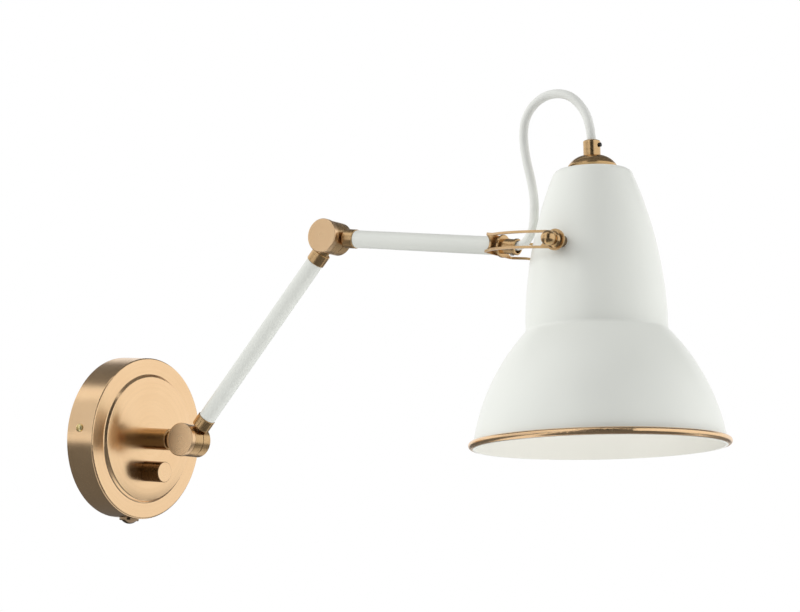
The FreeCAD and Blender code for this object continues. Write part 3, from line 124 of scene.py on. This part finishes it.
class Graph:
    """The node tree of one material or of the world."""

    def __init__(self, tree: bpy.types.NodeTree) -> None:
        """Start from an empty tree."""
        self.tree = tree
        self.tree.nodes.clear()

    def add(
        self,
        kind: str,
        settings: dict[str, object] | None = None,
        inputs: dict[int | str, object] | None = None,
    ) -> bpy.types.Node:
        """Add any node.

        Args:
            kind: the node's type.
            settings: its properties, set first.
            inputs: values or links of its sockets, by name or number.

        Returns:
            The new node.
        """
        node = self.tree.nodes.new(kind)
        for key, value in (settings or {}).items():
            setattr(node, key, value)
        for key, value in (inputs or {}).items():
            self.feed(node.inputs[key], value)
        return node

    def feed(self, socket: bpy.types.NodeSocket, value: object) -> None:
        """Link or set one input socket.

        Args:
            socket: the input.
            value: a Value, an output socket, or a plain number or tuple.
        """
        if isinstance(value, Value):
            self.tree.links.new(value.socket, socket)
        elif isinstance(value, bpy.types.NodeSocket):
            self.tree.links.new(value, socket)
        elif isinstance(value, tuple) and socket.type == "RGBA" and len(value) == 3:
            socket.default_value = (*value, 1.0)
        else:
            socket.default_value = value

    def value(self, node: bpy.types.Node, output: int | str = 0) -> Value:
        """Wrap one output of a node as a number."""
        return Value(self, node.outputs[output])

    def position(self) -> bpy.types.NodeSocket:
        """The point being shaded, in the frame of the CAD model at rest."""
        return self.add("ShaderNodeTexCoord").outputs["Object"]

    def vector(self, operation: str, *terms: object, output: int | str = 0) -> bpy.types.NodeSocket:
        """Add a Vector Math node.

        Args:
            operation: the node's operation.
            terms: its inputs, in order.
            output: which output is wanted.

        Returns:
            That output.
        """
        node = self.add("ShaderNodeVectorMath", {"operation": operation}, dict(enumerate(terms)))
        return node.outputs[output]

    def scaled(self, vector: object, factor: object) -> bpy.types.NodeSocket:
        """A vector times a number.

        Args:
            vector: the vector.
            factor: the number.

        Returns:
            The longer or shorter vector.
        """
        inputs = {0: vector, 3: factor}
        return self.add("ShaderNodeVectorMath", {"operation": "SCALE"}, inputs).outputs[0]

    def split(self, place: object, direction: Triple) -> tuple[bpy.types.NodeSocket, ...]:
        """Split a place into what lies along a direction and what lies across it.

        Args:
            place: a position or an offset.
            direction: a unit vector.

        Returns:
            The distance along the direction, the part along it, and the part across it.
        """
        along = self.vector("DOT_PRODUCT", place, direction, output=1)
        pull = self.scaled(direction, along)
        return along, pull, self.vector("SUBTRACT", place, pull)

    def stretch(self, source: Value, low: float = 0.36, high: float = 0.64) -> Value:
        """Stretch the middle of a noise value to the whole range from 0 to 1."""
        return self.spread(source, low, high, 0.0, 1.0)

    def roughness(self, source: Value, middle: float, below: float, above: float) -> Value:
        """A roughness that wanders about a middle value with a noise value."""
        return self.spread(source, 0.3, 0.7, middle - below, middle + above)

    def noise(
        self,
        place: object,
        scale: float,
        detail: float = 2.0,
        rough: float = 0.5,
    ) -> Value:
        """A noise value from 0 to 1 with a mean of one half.

        Args:
            place: where the noise is read.
            scale: its waves per metre.
            detail: how many finer waves are added.
            rough: how strong the finer waves are.

        Returns:
            The noise value.
        """
        inputs = {"Vector": place, "Scale": scale, "Detail": detail, "Roughness": rough}
        return self.value(self.add("ShaderNodeTexNoise", {"noise_dimensions": "3D"}, inputs), "Fac")

    def blend(self, factor: object, low: object, high: object) -> bpy.types.NodeSocket:
        """Mix two colours.

        Args:
            factor: share of the second colour.
            low: the first colour.
            high: the second colour.

        Returns:
            The mixed colour.
        """
        node = self.add("ShaderNodeMix", {"data_type": "RGBA", "clamp_factor": True})
        self.feed(node.inputs[0], factor)
        self.feed(node.inputs[6], low)
        self.feed(node.inputs[7], high)
        return node.outputs[2]

    def spread(
        self,
        source: Value,
        low: float,
        high: float,
        to_low: float,
        to_high: float,
    ) -> Value:
        """Map a range of values onto another, clamped at both ends.

        Args:
            source: the value to map.
            low: its lower end.
            high: its upper end.
            to_low: what the lower end becomes.
            to_high: what the upper end becomes.

        Returns:
            The mapped value.
        """
        source_range = {"Value": source, "From Min": low, "From Max": high}
        inputs = {**source_range, "To Min": to_low, "To Max": to_high}
        return self.value(self.add("ShaderNodeMapRange", {"clamp": True}, inputs))

    def bump(self, height: Value, distance: float, strength: float) -> bpy.types.NodeSocket:
        """A normal from a height.

        Args:
            height: the height, from 0 to 1.
            distance: what a height of 1 stands for, in metres.
            strength: share of the effect.

        Returns:
            The normal.
        """
        inputs = {"Strength": strength, "Distance": distance, "Height": height}
        return self.add("ShaderNodeBump", {}, inputs).outputs[0]

    def finish(self, inputs: dict[int | str, object]) -> None:
        """Close the graph with one surface shader.

        Args:
            inputs: values or links of its sockets.
        """
        surface = self.add("ShaderNodeBsdfPrincipled", {}, inputs)
        output = self.add("ShaderNodeOutputMaterial")
        self.tree.links.new(surface.outputs[0], output.inputs["Surface"])


# ---------------------------------------------------------------- finishes
def new_material(name: str) -> tuple[bpy.types.Material, Graph]:
    """An empty material and its graph.

    Args:
        name: name of the material.

    Returns:
        The material and its empty graph.
    """
    material = bpy.data.materials.new(name)
    material.use_nodes = True
    return material, Graph(material.node_tree)


@dataclass(frozen=True)
class Axis:
    """A line in the rest frame that a piece was turned about or drawn along."""

    point: Triple
    direction: Triple

    def along_and_around(self, graph: Graph) -> tuple[Value, Value]:
        """Distances along and away from the axis.

        Args:
            graph: the material's graph.

        Returns:
            The distance along the axis and the distance from it, in metres.
        """
        offset = graph.vector("SUBTRACT", graph.position(), self.point)
        along, _, across = graph.split(offset, self.direction)
        around = graph.vector("LENGTH", across, output=1)
        return Value(graph, along), Value(graph, around)


@dataclass(frozen=True)
class TurnedMetal:
    """Metal with the fine rings of turning and brushing about one axis."""

    name: str
    axis: Axis
    colour: Triple
    deep: Triple
    roughness: float = 0.30
    rings_per_metre: float = 2600.0
    ring_depth: float = 0.000003
    cloud_size: float = 0.03
    ring_wander: float = 0.0004
    broad_share: float = 0.22
    face_radius: float | None = None
    # colour of painted shade beyond face_radius, standing in for the dark reflection on a knob's
    # side
    painted_shade_side: Triple = (0.27, 0.155, 0.07)

    def build(self) -> bpy.types.Material:
        """Make the material; beyond a stated face radius the colour turns to dark brown, painted
        shade for the dark reflection along the side.
        """
        material, graph = new_material(self.name)
        along, around = self.axis.along_and_around(graph)
        drift = graph.noise(graph.position(), 1.0 / self.cloud_size, 3.0)
        wandering = along + drift * self.ring_wander
        place = graph.add("ShaderNodeCombineXYZ", {}, {0: wandering, 1: around, 2: 0.0})
        rings = graph.noise(place.outputs[0], self.rings_per_metre, 2.0, 0.6)
        broad = graph.noise(place.outputs[0], self.rings_per_metre * self.broad_share, 1.0)
        tone = graph.stretch(drift * 0.65 + broad * 0.35)
        rough = graph.roughness(rings * 0.5 + drift * 0.5, self.roughness, 0.05, 0.06)
        colour = graph.blend(tone, self.deep, self.colour)
        # painted shade: beyond the face radius the brass colour is swapped for a dark brown
        if self.face_radius is not None:
            colour = graph.blend(around > self.face_radius, colour, self.painted_shade_side)
        graph.finish({
            "Base Color": colour,
            "Metallic": 1.0,
            "Roughness": rough,
            "Normal": graph.bump(rings * 0.7 + broad * 0.3, self.ring_depth, 0.6),
        })
        return material


@dataclass(frozen=True)
class DrawnMetal:
    """Sheet metal brushed along one direction."""

    name: str
    direction: Triple
    colour: Triple
    deep: Triple
    roughness: float = 0.30
    lines_per_metre: float = 2400.0
    line_shortening: float = 0.04
    line_depth: float = 0.000012
    clouds_per_metre: float = 45.0

    def build(self) -> bpy.types.Material:
        """Make the material; places are drawn together lengthways, so that the lines run long."""
        material, graph = new_material(self.name)
        place = graph.position()
        _, pull, across = graph.split(place, self.direction)
        brushed = graph.vector("ADD", across, graph.scaled(pull, self.line_shortening))
        lines = graph.noise(brushed, self.lines_per_metre, 2.0, 0.6)
        drift = graph.noise(place, self.clouds_per_metre, 2.0)
        tone = graph.stretch(drift * 0.6 + lines * 0.4)
        graph.finish({
            "Base Color": graph.blend(tone, self.deep, self.colour),
            "Metallic": 1.0,
            "Roughness": graph.roughness(lines, self.roughness, 0.04, 0.06),
            "Normal": graph.bump(lines, self.line_depth, 0.5),
        })
        return material


@dataclass(frozen=True)
class SatinPaint:
    """Sprayed satin enamel with a faint orange peel; a hollow piece can be creamier inside."""

    name: str
    colour: Triple
    inside: Triple | None = None
    axis: Axis | None = None
    roughness: float = 0.36
    peel_size: float = 0.0016
    peel_depth: float = 0.000006
    clouds_per_metre: float = 22.0
    cloud_darkness: float = 0.985

    def build(self) -> bpy.types.Material:
        """Make the material; the inside is where the surface doesn't face away from the axis."""
        material, graph = new_material(self.name)
        place = graph.position()
        peel = graph.noise(place, 1.0 / self.peel_size, 1.0)
        cloud = graph.noise(place, self.clouds_per_metre, 3.0)
        darker = tuple(channel * self.cloud_darkness for channel in self.colour)
        colour = graph.blend(graph.stretch(cloud, 0.35, 0.65), darker, self.colour)
        if self.inside and self.axis:
            offset = graph.vector("SUBTRACT", place, self.axis.point)
            _, _, outward = graph.split(offset, self.axis.direction)
            normal = graph.add("ShaderNodeTexCoord").outputs["Normal"]
            facing = Value(graph, graph.vector("DOT_PRODUCT", outward, normal, output=1))
            colour = graph.blend(facing > 0.0, self.inside, colour)
        graph.finish({
            "Base Color": colour,
            "Roughness": graph.roughness(cloud, self.roughness, 0.03, 0.04),
            "Coat Weight": 0.12,
            "Coat Roughness": 0.2,
            "Normal": graph.bump(peel, self.peel_depth, 0.4),
        })
        return material


@dataclass(frozen=True)
class MouldedPlastic:
    """Moulded or extruded plastic, rubber or fibre with a fine surface texture."""

    name: str
    colour: Triple
    roughness: float = 0.45
    grain_size: float = 0.0006
    grain_depth: float = 0.00002
    clouds_per_metre: float = 60.0
    cloud_darkness: float = 0.93

    def build(self) -> bpy.types.Material:
        """Make the material."""
        material, graph = new_material(self.name)
        place = graph.position()
        grain = graph.noise(place, 1.0 / self.grain_size, 2.0)
        cloud = graph.noise(place, self.clouds_per_metre, 2.0)
        darker = tuple(channel * self.cloud_darkness for channel in self.colour)
        graph.finish({
            "Base Color": graph.blend(graph.stretch(cloud, 0.35, 0.65), darker, self.colour),
            "Roughness": graph.roughness(grain, self.roughness, 0.06, 0.06),
            "Normal": graph.bump(grain, self.grain_depth, 0.6),
        })
        return material


@dataclass(frozen=True)
class OpalGlass:
    """White glass of the bulb."""

    name: str
    colour: Triple = (0.88, 0.88, 0.86)
    bright: Triple = (0.92, 0.92, 0.9)
    roughness: float = 0.13
    clouds_per_metre: float = 40.0

    def build(self) -> bpy.types.Material:
        """Make the material."""
        material, graph = new_material(self.name)
        cloud = graph.noise(graph.position(), self.clouds_per_metre, 2.0)
        graph.finish({
            "Base Color": graph.blend(graph.stretch(cloud, 0.3, 0.7), self.colour, self.bright),
            "Roughness": graph.roughness(cloud, self.roughness, 0.03, 0.03),
            "Coat Weight": 0.5,
            "Coat Roughness": 0.05,
        })
        return material


class Tone(Enum):
    """Colours of the bare metals: a lighter tone and a deeper one, which noise mixes."""

    BRASS = ((0.93, 0.65, 0.385), (0.88, 0.60, 0.345))
    BRIGHT_BRASS = ((1.0, 0.86, 0.46), (0.95, 0.78, 0.38))
    # a darker copy of the brass: painted shade for the darker surroundings that the stem, knuckles
    # and fittings mirror
    SHADED_BRASS = ((0.70, 0.47, 0.24), (0.60, 0.39, 0.19))
    DARK_BRASS = ((0.30, 0.21, 0.13), (0.22, 0.15, 0.09))
    ZINC = ((0.56, 0.56, 0.55), (0.47, 0.47, 0.46))
    BLACKENED = ((0.035, 0.033, 0.03), (0.02, 0.02, 0.02))


WALL_AXIS = Axis((0.0, 0.0, 0.0), Y_AXIS)
KNOB_AXIS = Axis((0.0, 0.0, -0.024), Y_AXIS)
DOME_AXIS = Axis((0.0, -0.012, 0.0), Z_AXIS)
SHOULDER_PIN = Axis(SHOULDER, X_AXIS)
ELBOW_PIN = Axis(ELBOW, X_AXIS)
LOWER_LINE = Axis(SHOULDER, LOWER_AXIS)
UPPER_LINE = Axis(ELBOW, UPPER_AXIS)
SHADE_LINE = Axis(MOUTH_CENTRE, SHADE_AXIS)
PIVOT_LINE = Axis(SHADE_PIVOT, X_AXIS)


def metal(
    name: str,
    axis: Axis,
    tone: Tone = Tone.BRASS,
    roughness: float = 0.30,
    **more: float,
) -> TurnedMetal:
    """A turned metal finish in one of the lamp's tones.

    Args:
        name: name of the material.
        axis: the line that the piece was turned about.
        tone: its colours.
        roughness: its middle roughness.
        more: any other size of the finish.

    Returns:
        The finish.
    """
    return TurnedMetal(name, axis, tone.value[0], tone.value[1], roughness, **more)


def washer_fibre(name: str) -> MouldedPlastic:
    """The black fibre of the lamp's washers."""
    return MouldedPlastic(name, (0.02, 0.02, 0.022), 0.7)


def dress(node_name: str, finish: object) -> None:
    """Give a CAD node its finish.

    Args:
        node_name: name of the node.
        finish: any finish with a build method.
    """
    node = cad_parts[node_name]
    material = finish.build()
    if not node.material_slots:
        node.data.materials.append(material)
    for slot in node.material_slots:
        slot.material = material
    LOG.info("dressed %s with %s", node_name, material.name)


# ---------------------------------------------------------------- meshes
def sweep(name: str, path: list[Vector], radius: float) -> bpy.types.Object:
    """A round tube along a path.

    Args:
        name: name of the new object.
        path: points of the centreline.
        radius: radius of the tube.

    Returns:
        The tube with closed ends.
    """
    points = np.array([tuple(point) for point in path])
    tangents = np.gradient(points, axis=0)
    tangents /= np.linalg.norm(tangents, axis=1)[:, None]
    normal = np.array((1.0, 0.0, 0.0))
    vertices: list[tuple[float, ...]] = []
    for point, tangent in zip(points, tangents):
        normal = normal - tangent * normal.dot(tangent)
        normal /= np.linalg.norm(normal)
        binormal = np.cross(tangent, normal)
        for step in range(TUBE_SIDES):
            angle = 2.0 * math.pi * step / TUBE_SIDES
            spoke = math.cos(angle) * normal + math.sin(angle) * binormal
            vertices.append(tuple(point + radius * spoke))
    faces: list[tuple[int, ...]] = []
    for ring in range(len(points) - 1):
        for step in range(TUBE_SIDES):
            here = ring * TUBE_SIDES + step
            beside = ring * TUBE_SIDES + (step + 1) % TUBE_SIDES
            faces.append((here, beside, beside + TUBE_SIDES, here + TUBE_SIDES))
    faces.append(tuple(reversed(range(TUBE_SIDES))))
    last = (len(points) - 1) * TUBE_SIDES
    faces.append(tuple(range(last, last + TUBE_SIDES)))
    mesh = bpy.data.meshes.new(name)
    mesh.from_pydata(vertices, [], faces)
    mesh.update()
    mesh.shade_smooth()
    tube = bpy.data.objects.new(name, mesh)
    bpy.context.scene.collection.objects.link(tube)
    return tube


def nurbs_line(route: list[Triple]) -> list[Vector]:
    """The smooth line that a route's points control.

    Args:
        route: control points.

    Returns:
        Points of the line.
    """
    curve = bpy.data.curves.new("route", "CURVE")
    curve.dimensions = "3D"
    curve.resolution_u = CORD_SPAN_STEPS
    spline = curve.splines.new("NURBS")
    spline.points.add(len(route) - 1)
    for point, place in zip(spline.points, route):
        point.co = (*place, 1.0)
    spline.order_u = 3
    spline.use_endpoint_u = True
    holder = bpy.data.objects.new("route", curve)
    bpy.context.scene.collection.objects.link(holder)
    bpy.context.view_layer.update()
    mesh = bpy.data.meshes.new_from_object(holder)
    line = [vertex.co.copy() for vertex in mesh.vertices]
    bpy.data.objects.remove(holder)
    bpy.data.curves.remove(curve)
    bpy.data.meshes.remove(mesh)
    return line


# ---------------------------------------------------------------- sub-assemblies
@dataclass
class FlexLoop:
    """Free loop of white flex between the fork's barrel and the shade's gland."""

    radius: float = CORD_RADIUS
    route: list[Triple] = field(default_factory=lambda: [
        (0.0, -0.3325, 0.13973), (0.0, -0.34153, 0.13924), (0.0, -0.3485, 0.1475),
        (0.0, -0.3502, 0.157), (0.0, -0.3486, 0.176), (0.0, -0.337, 0.2075),
        (0.0, -0.3368, 0.229), (0.0, -0.3505, 0.242), (0.0, -0.3695, 0.2424),
        (0.0, -0.3835, 0.2305), (0.0, -0.38968, 0.21592), (0.0, -0.39083, 0.20518),
    ])

    def build(self) -> None:
        line = nurbs_line(self.route)
        tube = sweep("flex_loop", line, self.radius)
        skin = MouldedPlastic("white_flex", (0.82, 0.83, 0.79), 0.42, 0.0012, 0.00003)
        tube.data.materials.append(skin.build())
        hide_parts("flex_cord")
        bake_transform(tube)


@dataclass
class Rose:
    """Wall rose with its stem, dimmer and fixings."""

    brushing: float = 0.22

    def build(self) -> None:
        """Dress every piece of the rose."""
        dress("rose_cover", metal("rose_brass", WALL_AXIS, Tone.BRASS, self.brushing))
        dress("wall_plate", DrawnMetal("plate_zinc", X_AXIS, *Tone.ZINC.value, 0.4))
        # the side screws' brass is brightened into a painted highlight on their domed heads
        dress("cover_side_screws", metal("screw_brass", WALL_AXIS, Tone.BRIGHT_BRASS, 0.36))
        dress("bottom_dome_screw", metal("dome_brass", DOME_AXIS, Tone.DARK_BRASS, 0.12))
        # the stem takes the darker copy of the brass, painted shade
        dress("stem", metal("stem_brass", WALL_AXIS, Tone.SHADED_BRASS, 0.24))
        for name in (
            "stem_washer", "stem_nut", "stem_retainer_screw", "dimmer_nut", "dimmer_shaft",
        ):
            dress(name, metal(name + "_zinc", WALL_AXIS, Tone.ZINC, 0.35))
        # the knob's side beyond its face takes painted shade, a dark brown for the dark reflection
        # there
        knob = metal("knob_brass", KNOB_AXIS, Tone.BRASS, 0.25, face_radius=KNOB_FACE_RADIUS)
        dress("dimmer_knob", knob)
        dress("dimmer_body", MouldedPlastic("dimmer_black", (0.03, 0.03, 0.032)))
        dress("terminal_block", MouldedPlastic("terminal_white", (0.72, 0.72, 0.69)))
        dress("terminal_screws", metal("terminal_brass", WALL_AXIS, Tone.BRIGHT_BRASS, 0.3))
        dress("rose_leads", MouldedPlastic("lead_brown", (0.30, 0.14, 0.07), 0.4))
        dress("swivel_washer", washer_fibre("swivel_fibre"))


@dataclass
class Arms:
    """Knuckles, tubes and the flex inside them."""

    # a greyer copy of the shade's white: painted shade, darkening the tubes to their level in the
    # light
    paint: Triple = (0.73, 0.745, 0.70)

    def build(self) -> None:
        """Dress both arms."""
        # knuckles and arm roots take the darker copy of the brass, painted shade
        for name, pin in (("shoulder", SHOULDER_PIN), ("elbow", ELBOW_PIN)):
            dress(name + "_knuckle", metal(name + "_brass", pin, Tone.SHADED_BRASS, 0.27))
            dress(name + "_pivot_bolt", metal(name + "_bolt_brass", pin))
            dress(name + "_friction_washers", washer_fibre(name + "_fibre"))
        dress("lower_arm_root", metal("lower_root_brass", LOWER_LINE, Tone.SHADED_BRASS, 0.27))
        dress("upper_arm_root", metal("upper_root_brass", UPPER_LINE, Tone.SHADED_BRASS, 0.27))
        dress("upper_arm_plug", metal("plug_brass", UPPER_LINE))
        dress("lower_arm_tube", SatinPaint("lower_arm_paint", self.paint))
        dress("upper_arm_tube", SatinPaint("upper_arm_paint", self.paint))
        for name in ("lower_arm_flex", "upper_arm_flex"):
            dress(name, MouldedPlastic(name + "_white", (0.80, 0.80, 0.79)))


@dataclass
class Fork:
    """Sheet fork, its swivel and the barrel."""

    def build(self) -> None:
        """Dress the fork."""
        # the fork's brass parts take the darker copy of the brass, painted shade
        dress("fork_bracket", DrawnMetal("fork_brass", UPPER_AXIS, *Tone.SHADED_BRASS.value, 0.28))
        for name in ("fork_nipple", "fork_flange_nut", "cord_barrel"):
            dress(name, metal(name + "_brass", UPPER_LINE, Tone.SHADED_BRASS, 0.25))
        for name in ("fork_circlip", "fork_spring_washer", "barrel_grub_screw"):
            dress(name, metal(name + "_zinc", UPPER_LINE, Tone.ZINC, 0.3))
        dress("swivel_fibre_washer", washer_fibre("fork_fibre"))


@dataclass
class Shade:
    """Bell shade with its cap, bead, pivots, holder and bulb."""

    paint: Triple = (0.82, 0.838, 0.787)
    lining: Triple = (0.89, 0.88, 0.82)

    def build(self) -> None:
        """Dress the shade."""
        dress("shade_shell", SatinPaint("shade_paint", self.paint, self.lining, SHADE_LINE))
        dress("rim_trim", metal("rim_trim_brass", SHADE_LINE, Tone.BRASS, 0.24))
        # cap, gland and nipple take the darker copy of the brass, painted shade
        for name in ("shade_cap", "cord_gland", "holder_nipple"):
            dress(name, metal(name + "_brass", SHADE_LINE, Tone.SHADED_BRASS, 0.24))
        dress("gland_grub_screw", metal("grub_black", SHADE_LINE, Tone.BLACKENED, 0.35))
        dress("holder_nut", metal("holder_nut_zinc", SHADE_LINE, Tone.ZINC, 0.35))
        for name in ("lampholder_cap", "lampholder_body"):
            dress(name, MouldedPlastic(name + "_black", (0.03, 0.03, 0.03), 0.35))
        for name in ("shell_contact", "centre_contact"):
            dress(name, metal(name + "_brass", SHADE_LINE, Tone.BRIGHT_BRASS, 0.3))
        dress("bulb_base", metal("bulb_zinc", SHADE_LINE, Tone.ZINC, 0.25))
        dress("bulb_glass", OpalGlass("bulb_opal"))
        # the bushes take the dark brass as painted shade, for the shadow they sit in beside the
        # shade
        dress("pivot_bushes", metal("bush_brass", PIVOT_LINE, Tone.DARK_BRASS, 0.3))
        # the pivot knobs take the darker copy of the brass, painted shade
        for name in ("left_pivot_knob", "right_pivot_knob"):
            dress(name, metal(name + "_brass", PIVOT_LINE, Tone.SHADED_BRASS, 0.24))
        dress("pivot_bush_nuts", metal("bush_nut_zinc", PIVOT_LINE, Tone.ZINC, 0.35))
        dress("pivot_washers", washer_fibre("pivot_fibre"))


# ---------------------------------------------------------------- studio
@dataclass
class PhotoCamera:
    """Camera at the photograph's viewpoint."""

    place: Triple = (-1.27989, -1.16736, -0.05777)
    right: Triple = (0.57687022, -0.81350126, 0.07373224)
    up: Triple = (-0.12357197, 0.00231338, 0.99233292)
    forward: Triple = (0.80743465, 0.58155855, 0.09919143)
    focal_pixels: float = 2300.0
    width_pixels: float = 800.0

    def build(self) -> None:
        """Make the camera and set it as the scene's."""
        data = bpy.data.cameras.new("photo_camera")
        data.sensor_width = 36.0
        data.lens = self.focal_pixels / self.width_pixels * data.sensor_width
        data.clip_start = 0.05
        data.clip_end = 60.0
        camera = bpy.data.objects.new("photo_camera", data)
        back = -Vector(self.forward)
        turn = Matrix((self.right, self.up, back)).transposed().to_4x4()
        camera.matrix_world = Matrix.Translation(self.place) @ turn
        bpy.context.scene.collection.objects.link(camera)
        bpy.context.scene.camera = camera


@dataclass(frozen=True)
class SoftBox:
    """One soft lamp."""

    name: str
    place: Triple
    aim: Triple
    size: float
    power: float

    def build(self) -> None:
        """Make the lamp."""
        data = bpy.data.lights.new(self.name, "AREA")
        data.shape = "SQUARE"
        data.size = self.size
        data.energy = self.power
        lamp = bpy.data.objects.new(self.name, data)
        lamp.location = self.place
        lamp.visible_glossy = False
        beam = Vector(self.aim) - Vector(self.place)
        lamp.rotation_euler = beam.to_track_quat("-Z", "Y").to_euler()
        bpy.context.scene.collection.objects.link(lamp)


@dataclass(frozen=True)
class Flag:
    """A grey or dark card beside the object that the camera doesn't see.

    The metal and the paint's gloss mirror it unless mirrored is False, and it takes light from the
    object only if shades is True.
    """

    name: str
    place: Triple
    target: Triple
    width: float
    height: float
    tone: float
    shades: bool = False
    mirrored: bool = True

    def build(self) -> None:
        """Stand the card up, facing its target."""
        across = self.width / 2.0
        rise = self.height / 2.0
        mesh = bpy.data.meshes.new(self.name)
        corners = [(-across, -rise), (across, -rise), (across, rise), (-across, rise)]
        mesh.from_pydata([(x, y, 0.0) for x, y in corners], [], [(0, 1, 2, 3)])
        facing = Vector(self.place) - Vector(self.target)
        turn = facing.to_track_quat("Z", "Y").to_matrix().to_4x4()
        mesh.transform(Matrix.Translation(Vector(self.place)) @ turn)
        card = bpy.data.objects.new(self.name, mesh)
        bpy.context.scene.collection.objects.link(card)
        material, graph = new_material(self.name)
        grey = (self.tone, self.tone, self.tone)
        cloth = graph.add("ShaderNodeBsdfDiffuse", {}, {"Color": grey})
        output = graph.add("ShaderNodeOutputMaterial")
        graph.feed(output.inputs["Surface"], cloth.outputs[0])
        mesh.materials.append(material)
        card.visible_camera = False
        card.visible_shadow = False
        card.visible_diffuse = self.shades
        card.visible_glossy = self.mirrored


@dataclass
class Studio:
    """Pale floor, even surroundings and soft lamps."""

    floor_height: float = -0.6
    floor_half: float = 5.0
    floor_glow: float = 0.72
    ambient: float = 0.84
    lamps: tuple[SoftBox, ...] = (
        SoftBox("right_light", (1.25, -1.75, 0.75), (0.0, -0.3, 0.05), 1.3, 13.0),
        SoftBox("left_light", (-1.2, 1.1, 0.9), (0.0, -0.3, 0.05), 1.2, 13.0),
        SoftBox("under_light", (-0.15, -0.75, -0.52), (0.0, -0.4, 0.05), 0.5, 2.2),
    )
    flags: tuple[Flag, ...] = (
        Flag("front_flag", (-1.20, -2.05, -0.1), (0.0, -0.25, 0.05), 2.2, 2.8, 0.04, True, False),
        Flag("tall_flag", (-1.99, -1.45, 1.1), (0.0, -0.3, 0.3), 2.1, 4.0, 0.08),
        Flag("low_front_flag", (-0.9, -1.5, -0.57), (-0.9, -1.5, 0.0), 3.0, 2.6, 0.14),
        Flag("low_right_flag", (2.3, -0.8, -0.56), (2.3, -0.8, 0.0), 3.0, 3.0, 0.20),
        Flag("low_back_flag", (-0.1, 2.7, -0.58), (-0.1, 2.7, 0.0), 5.0, 5.0, 0.14),
        Flag("left_card", (-1.9, 1.3, 0.75), (0.0, -0.1, 0.0), 2.4, 1.6, 0.82),
        Flag("ceiling_flag", (1.5, 0.4, 1.9), (1.5, 0.4, 0.0), 4.2, 4.0, 0.20),
    )

    def floor(self) -> None:
        """A wide pale floor that keeps the lamp's shadow."""
        mesh = bpy.data.meshes.new("floor")
        half = self.floor_half
        corners = [(-half, -half), (half, -half), (half, half), (-half, half)]
        level = [(x, y, self.floor_height) for x, y in corners]
        mesh.from_pydata(level, [], [(0, 1, 2, 3)])
        floor = bpy.data.objects.new("floor", mesh)
        bpy.context.scene.collection.objects.link(floor)
        material, graph = new_material("floor_white")
        path = graph.add("ShaderNodeLightPath")
        seen = graph.value(path, "Is Camera Ray") + graph.value(path, "Is Glossy Ray")
        seen = (seen + graph.value(path, "Is Transmission Ray")) * self.floor_glow
        matt = graph.add("ShaderNodeBsdfDiffuse", {}, {"Color": (0.86, 0.86, 0.86)})
        glow = graph.add("ShaderNodeEmission", {}, {"Color": (1.0, 1.0, 1.0), "Strength": 1.0})
        ends = {0: seen, 1: matt.outputs[0], 2: glow.outputs[0]}
        mixed = graph.add("ShaderNodeMixShader", {}, ends)
        output = graph.add("ShaderNodeOutputMaterial")
        graph.feed(output.inputs["Surface"], mixed.outputs[0])
        mesh.materials.append(material)

    def surroundings(self) -> None:
        """A white world for what is seen, and a softer one for light."""
        world = bpy.data.worlds.new("studio")
        world.use_nodes = True
        bpy.context.scene.world = world
        graph = Graph(world.node_tree)
        path = graph.add("ShaderNodeLightPath")
        seen = graph.value(path, "Is Camera Ray") + graph.value(path, "Is Glossy Ray")
        seen = seen + graph.value(path, "Is Transmission Ray")
        plain = {"Color": (1.0, 1.0, 1.0)}
        soft = graph.add("ShaderNodeBackground", {}, {**plain, "Strength": self.ambient})
        white = graph.add("ShaderNodeBackground", {}, {**plain, "Strength": 1.0})
        ends = {0: seen, 1: soft.outputs[0], 2: white.outputs[0]}
        mixed = graph.add("ShaderNodeMixShader", {}, ends)
        output = graph.add("ShaderNodeOutputWorld")
        graph.feed(output.inputs["Surface"], mixed.outputs[0])

    def build(self) -> None:
        """Set up the studio."""
        self.floor()
        self.surroundings()
        for piece in (*self.lamps, *self.flags):
            piece.build()
        bpy.context.scene.view_settings.view_transform = "Standard"


def main() -> None:
    """Build the scene."""
    logging.basicConfig(level=logging.INFO, format="%(message)s")
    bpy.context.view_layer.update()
    PhotoCamera().build()
    FlexLoop().build()
    Rose().build()
    Arms().build()
    Fork().build()
    Shade().build()
    Studio().build()


if __name__ == "__main__":
    main()
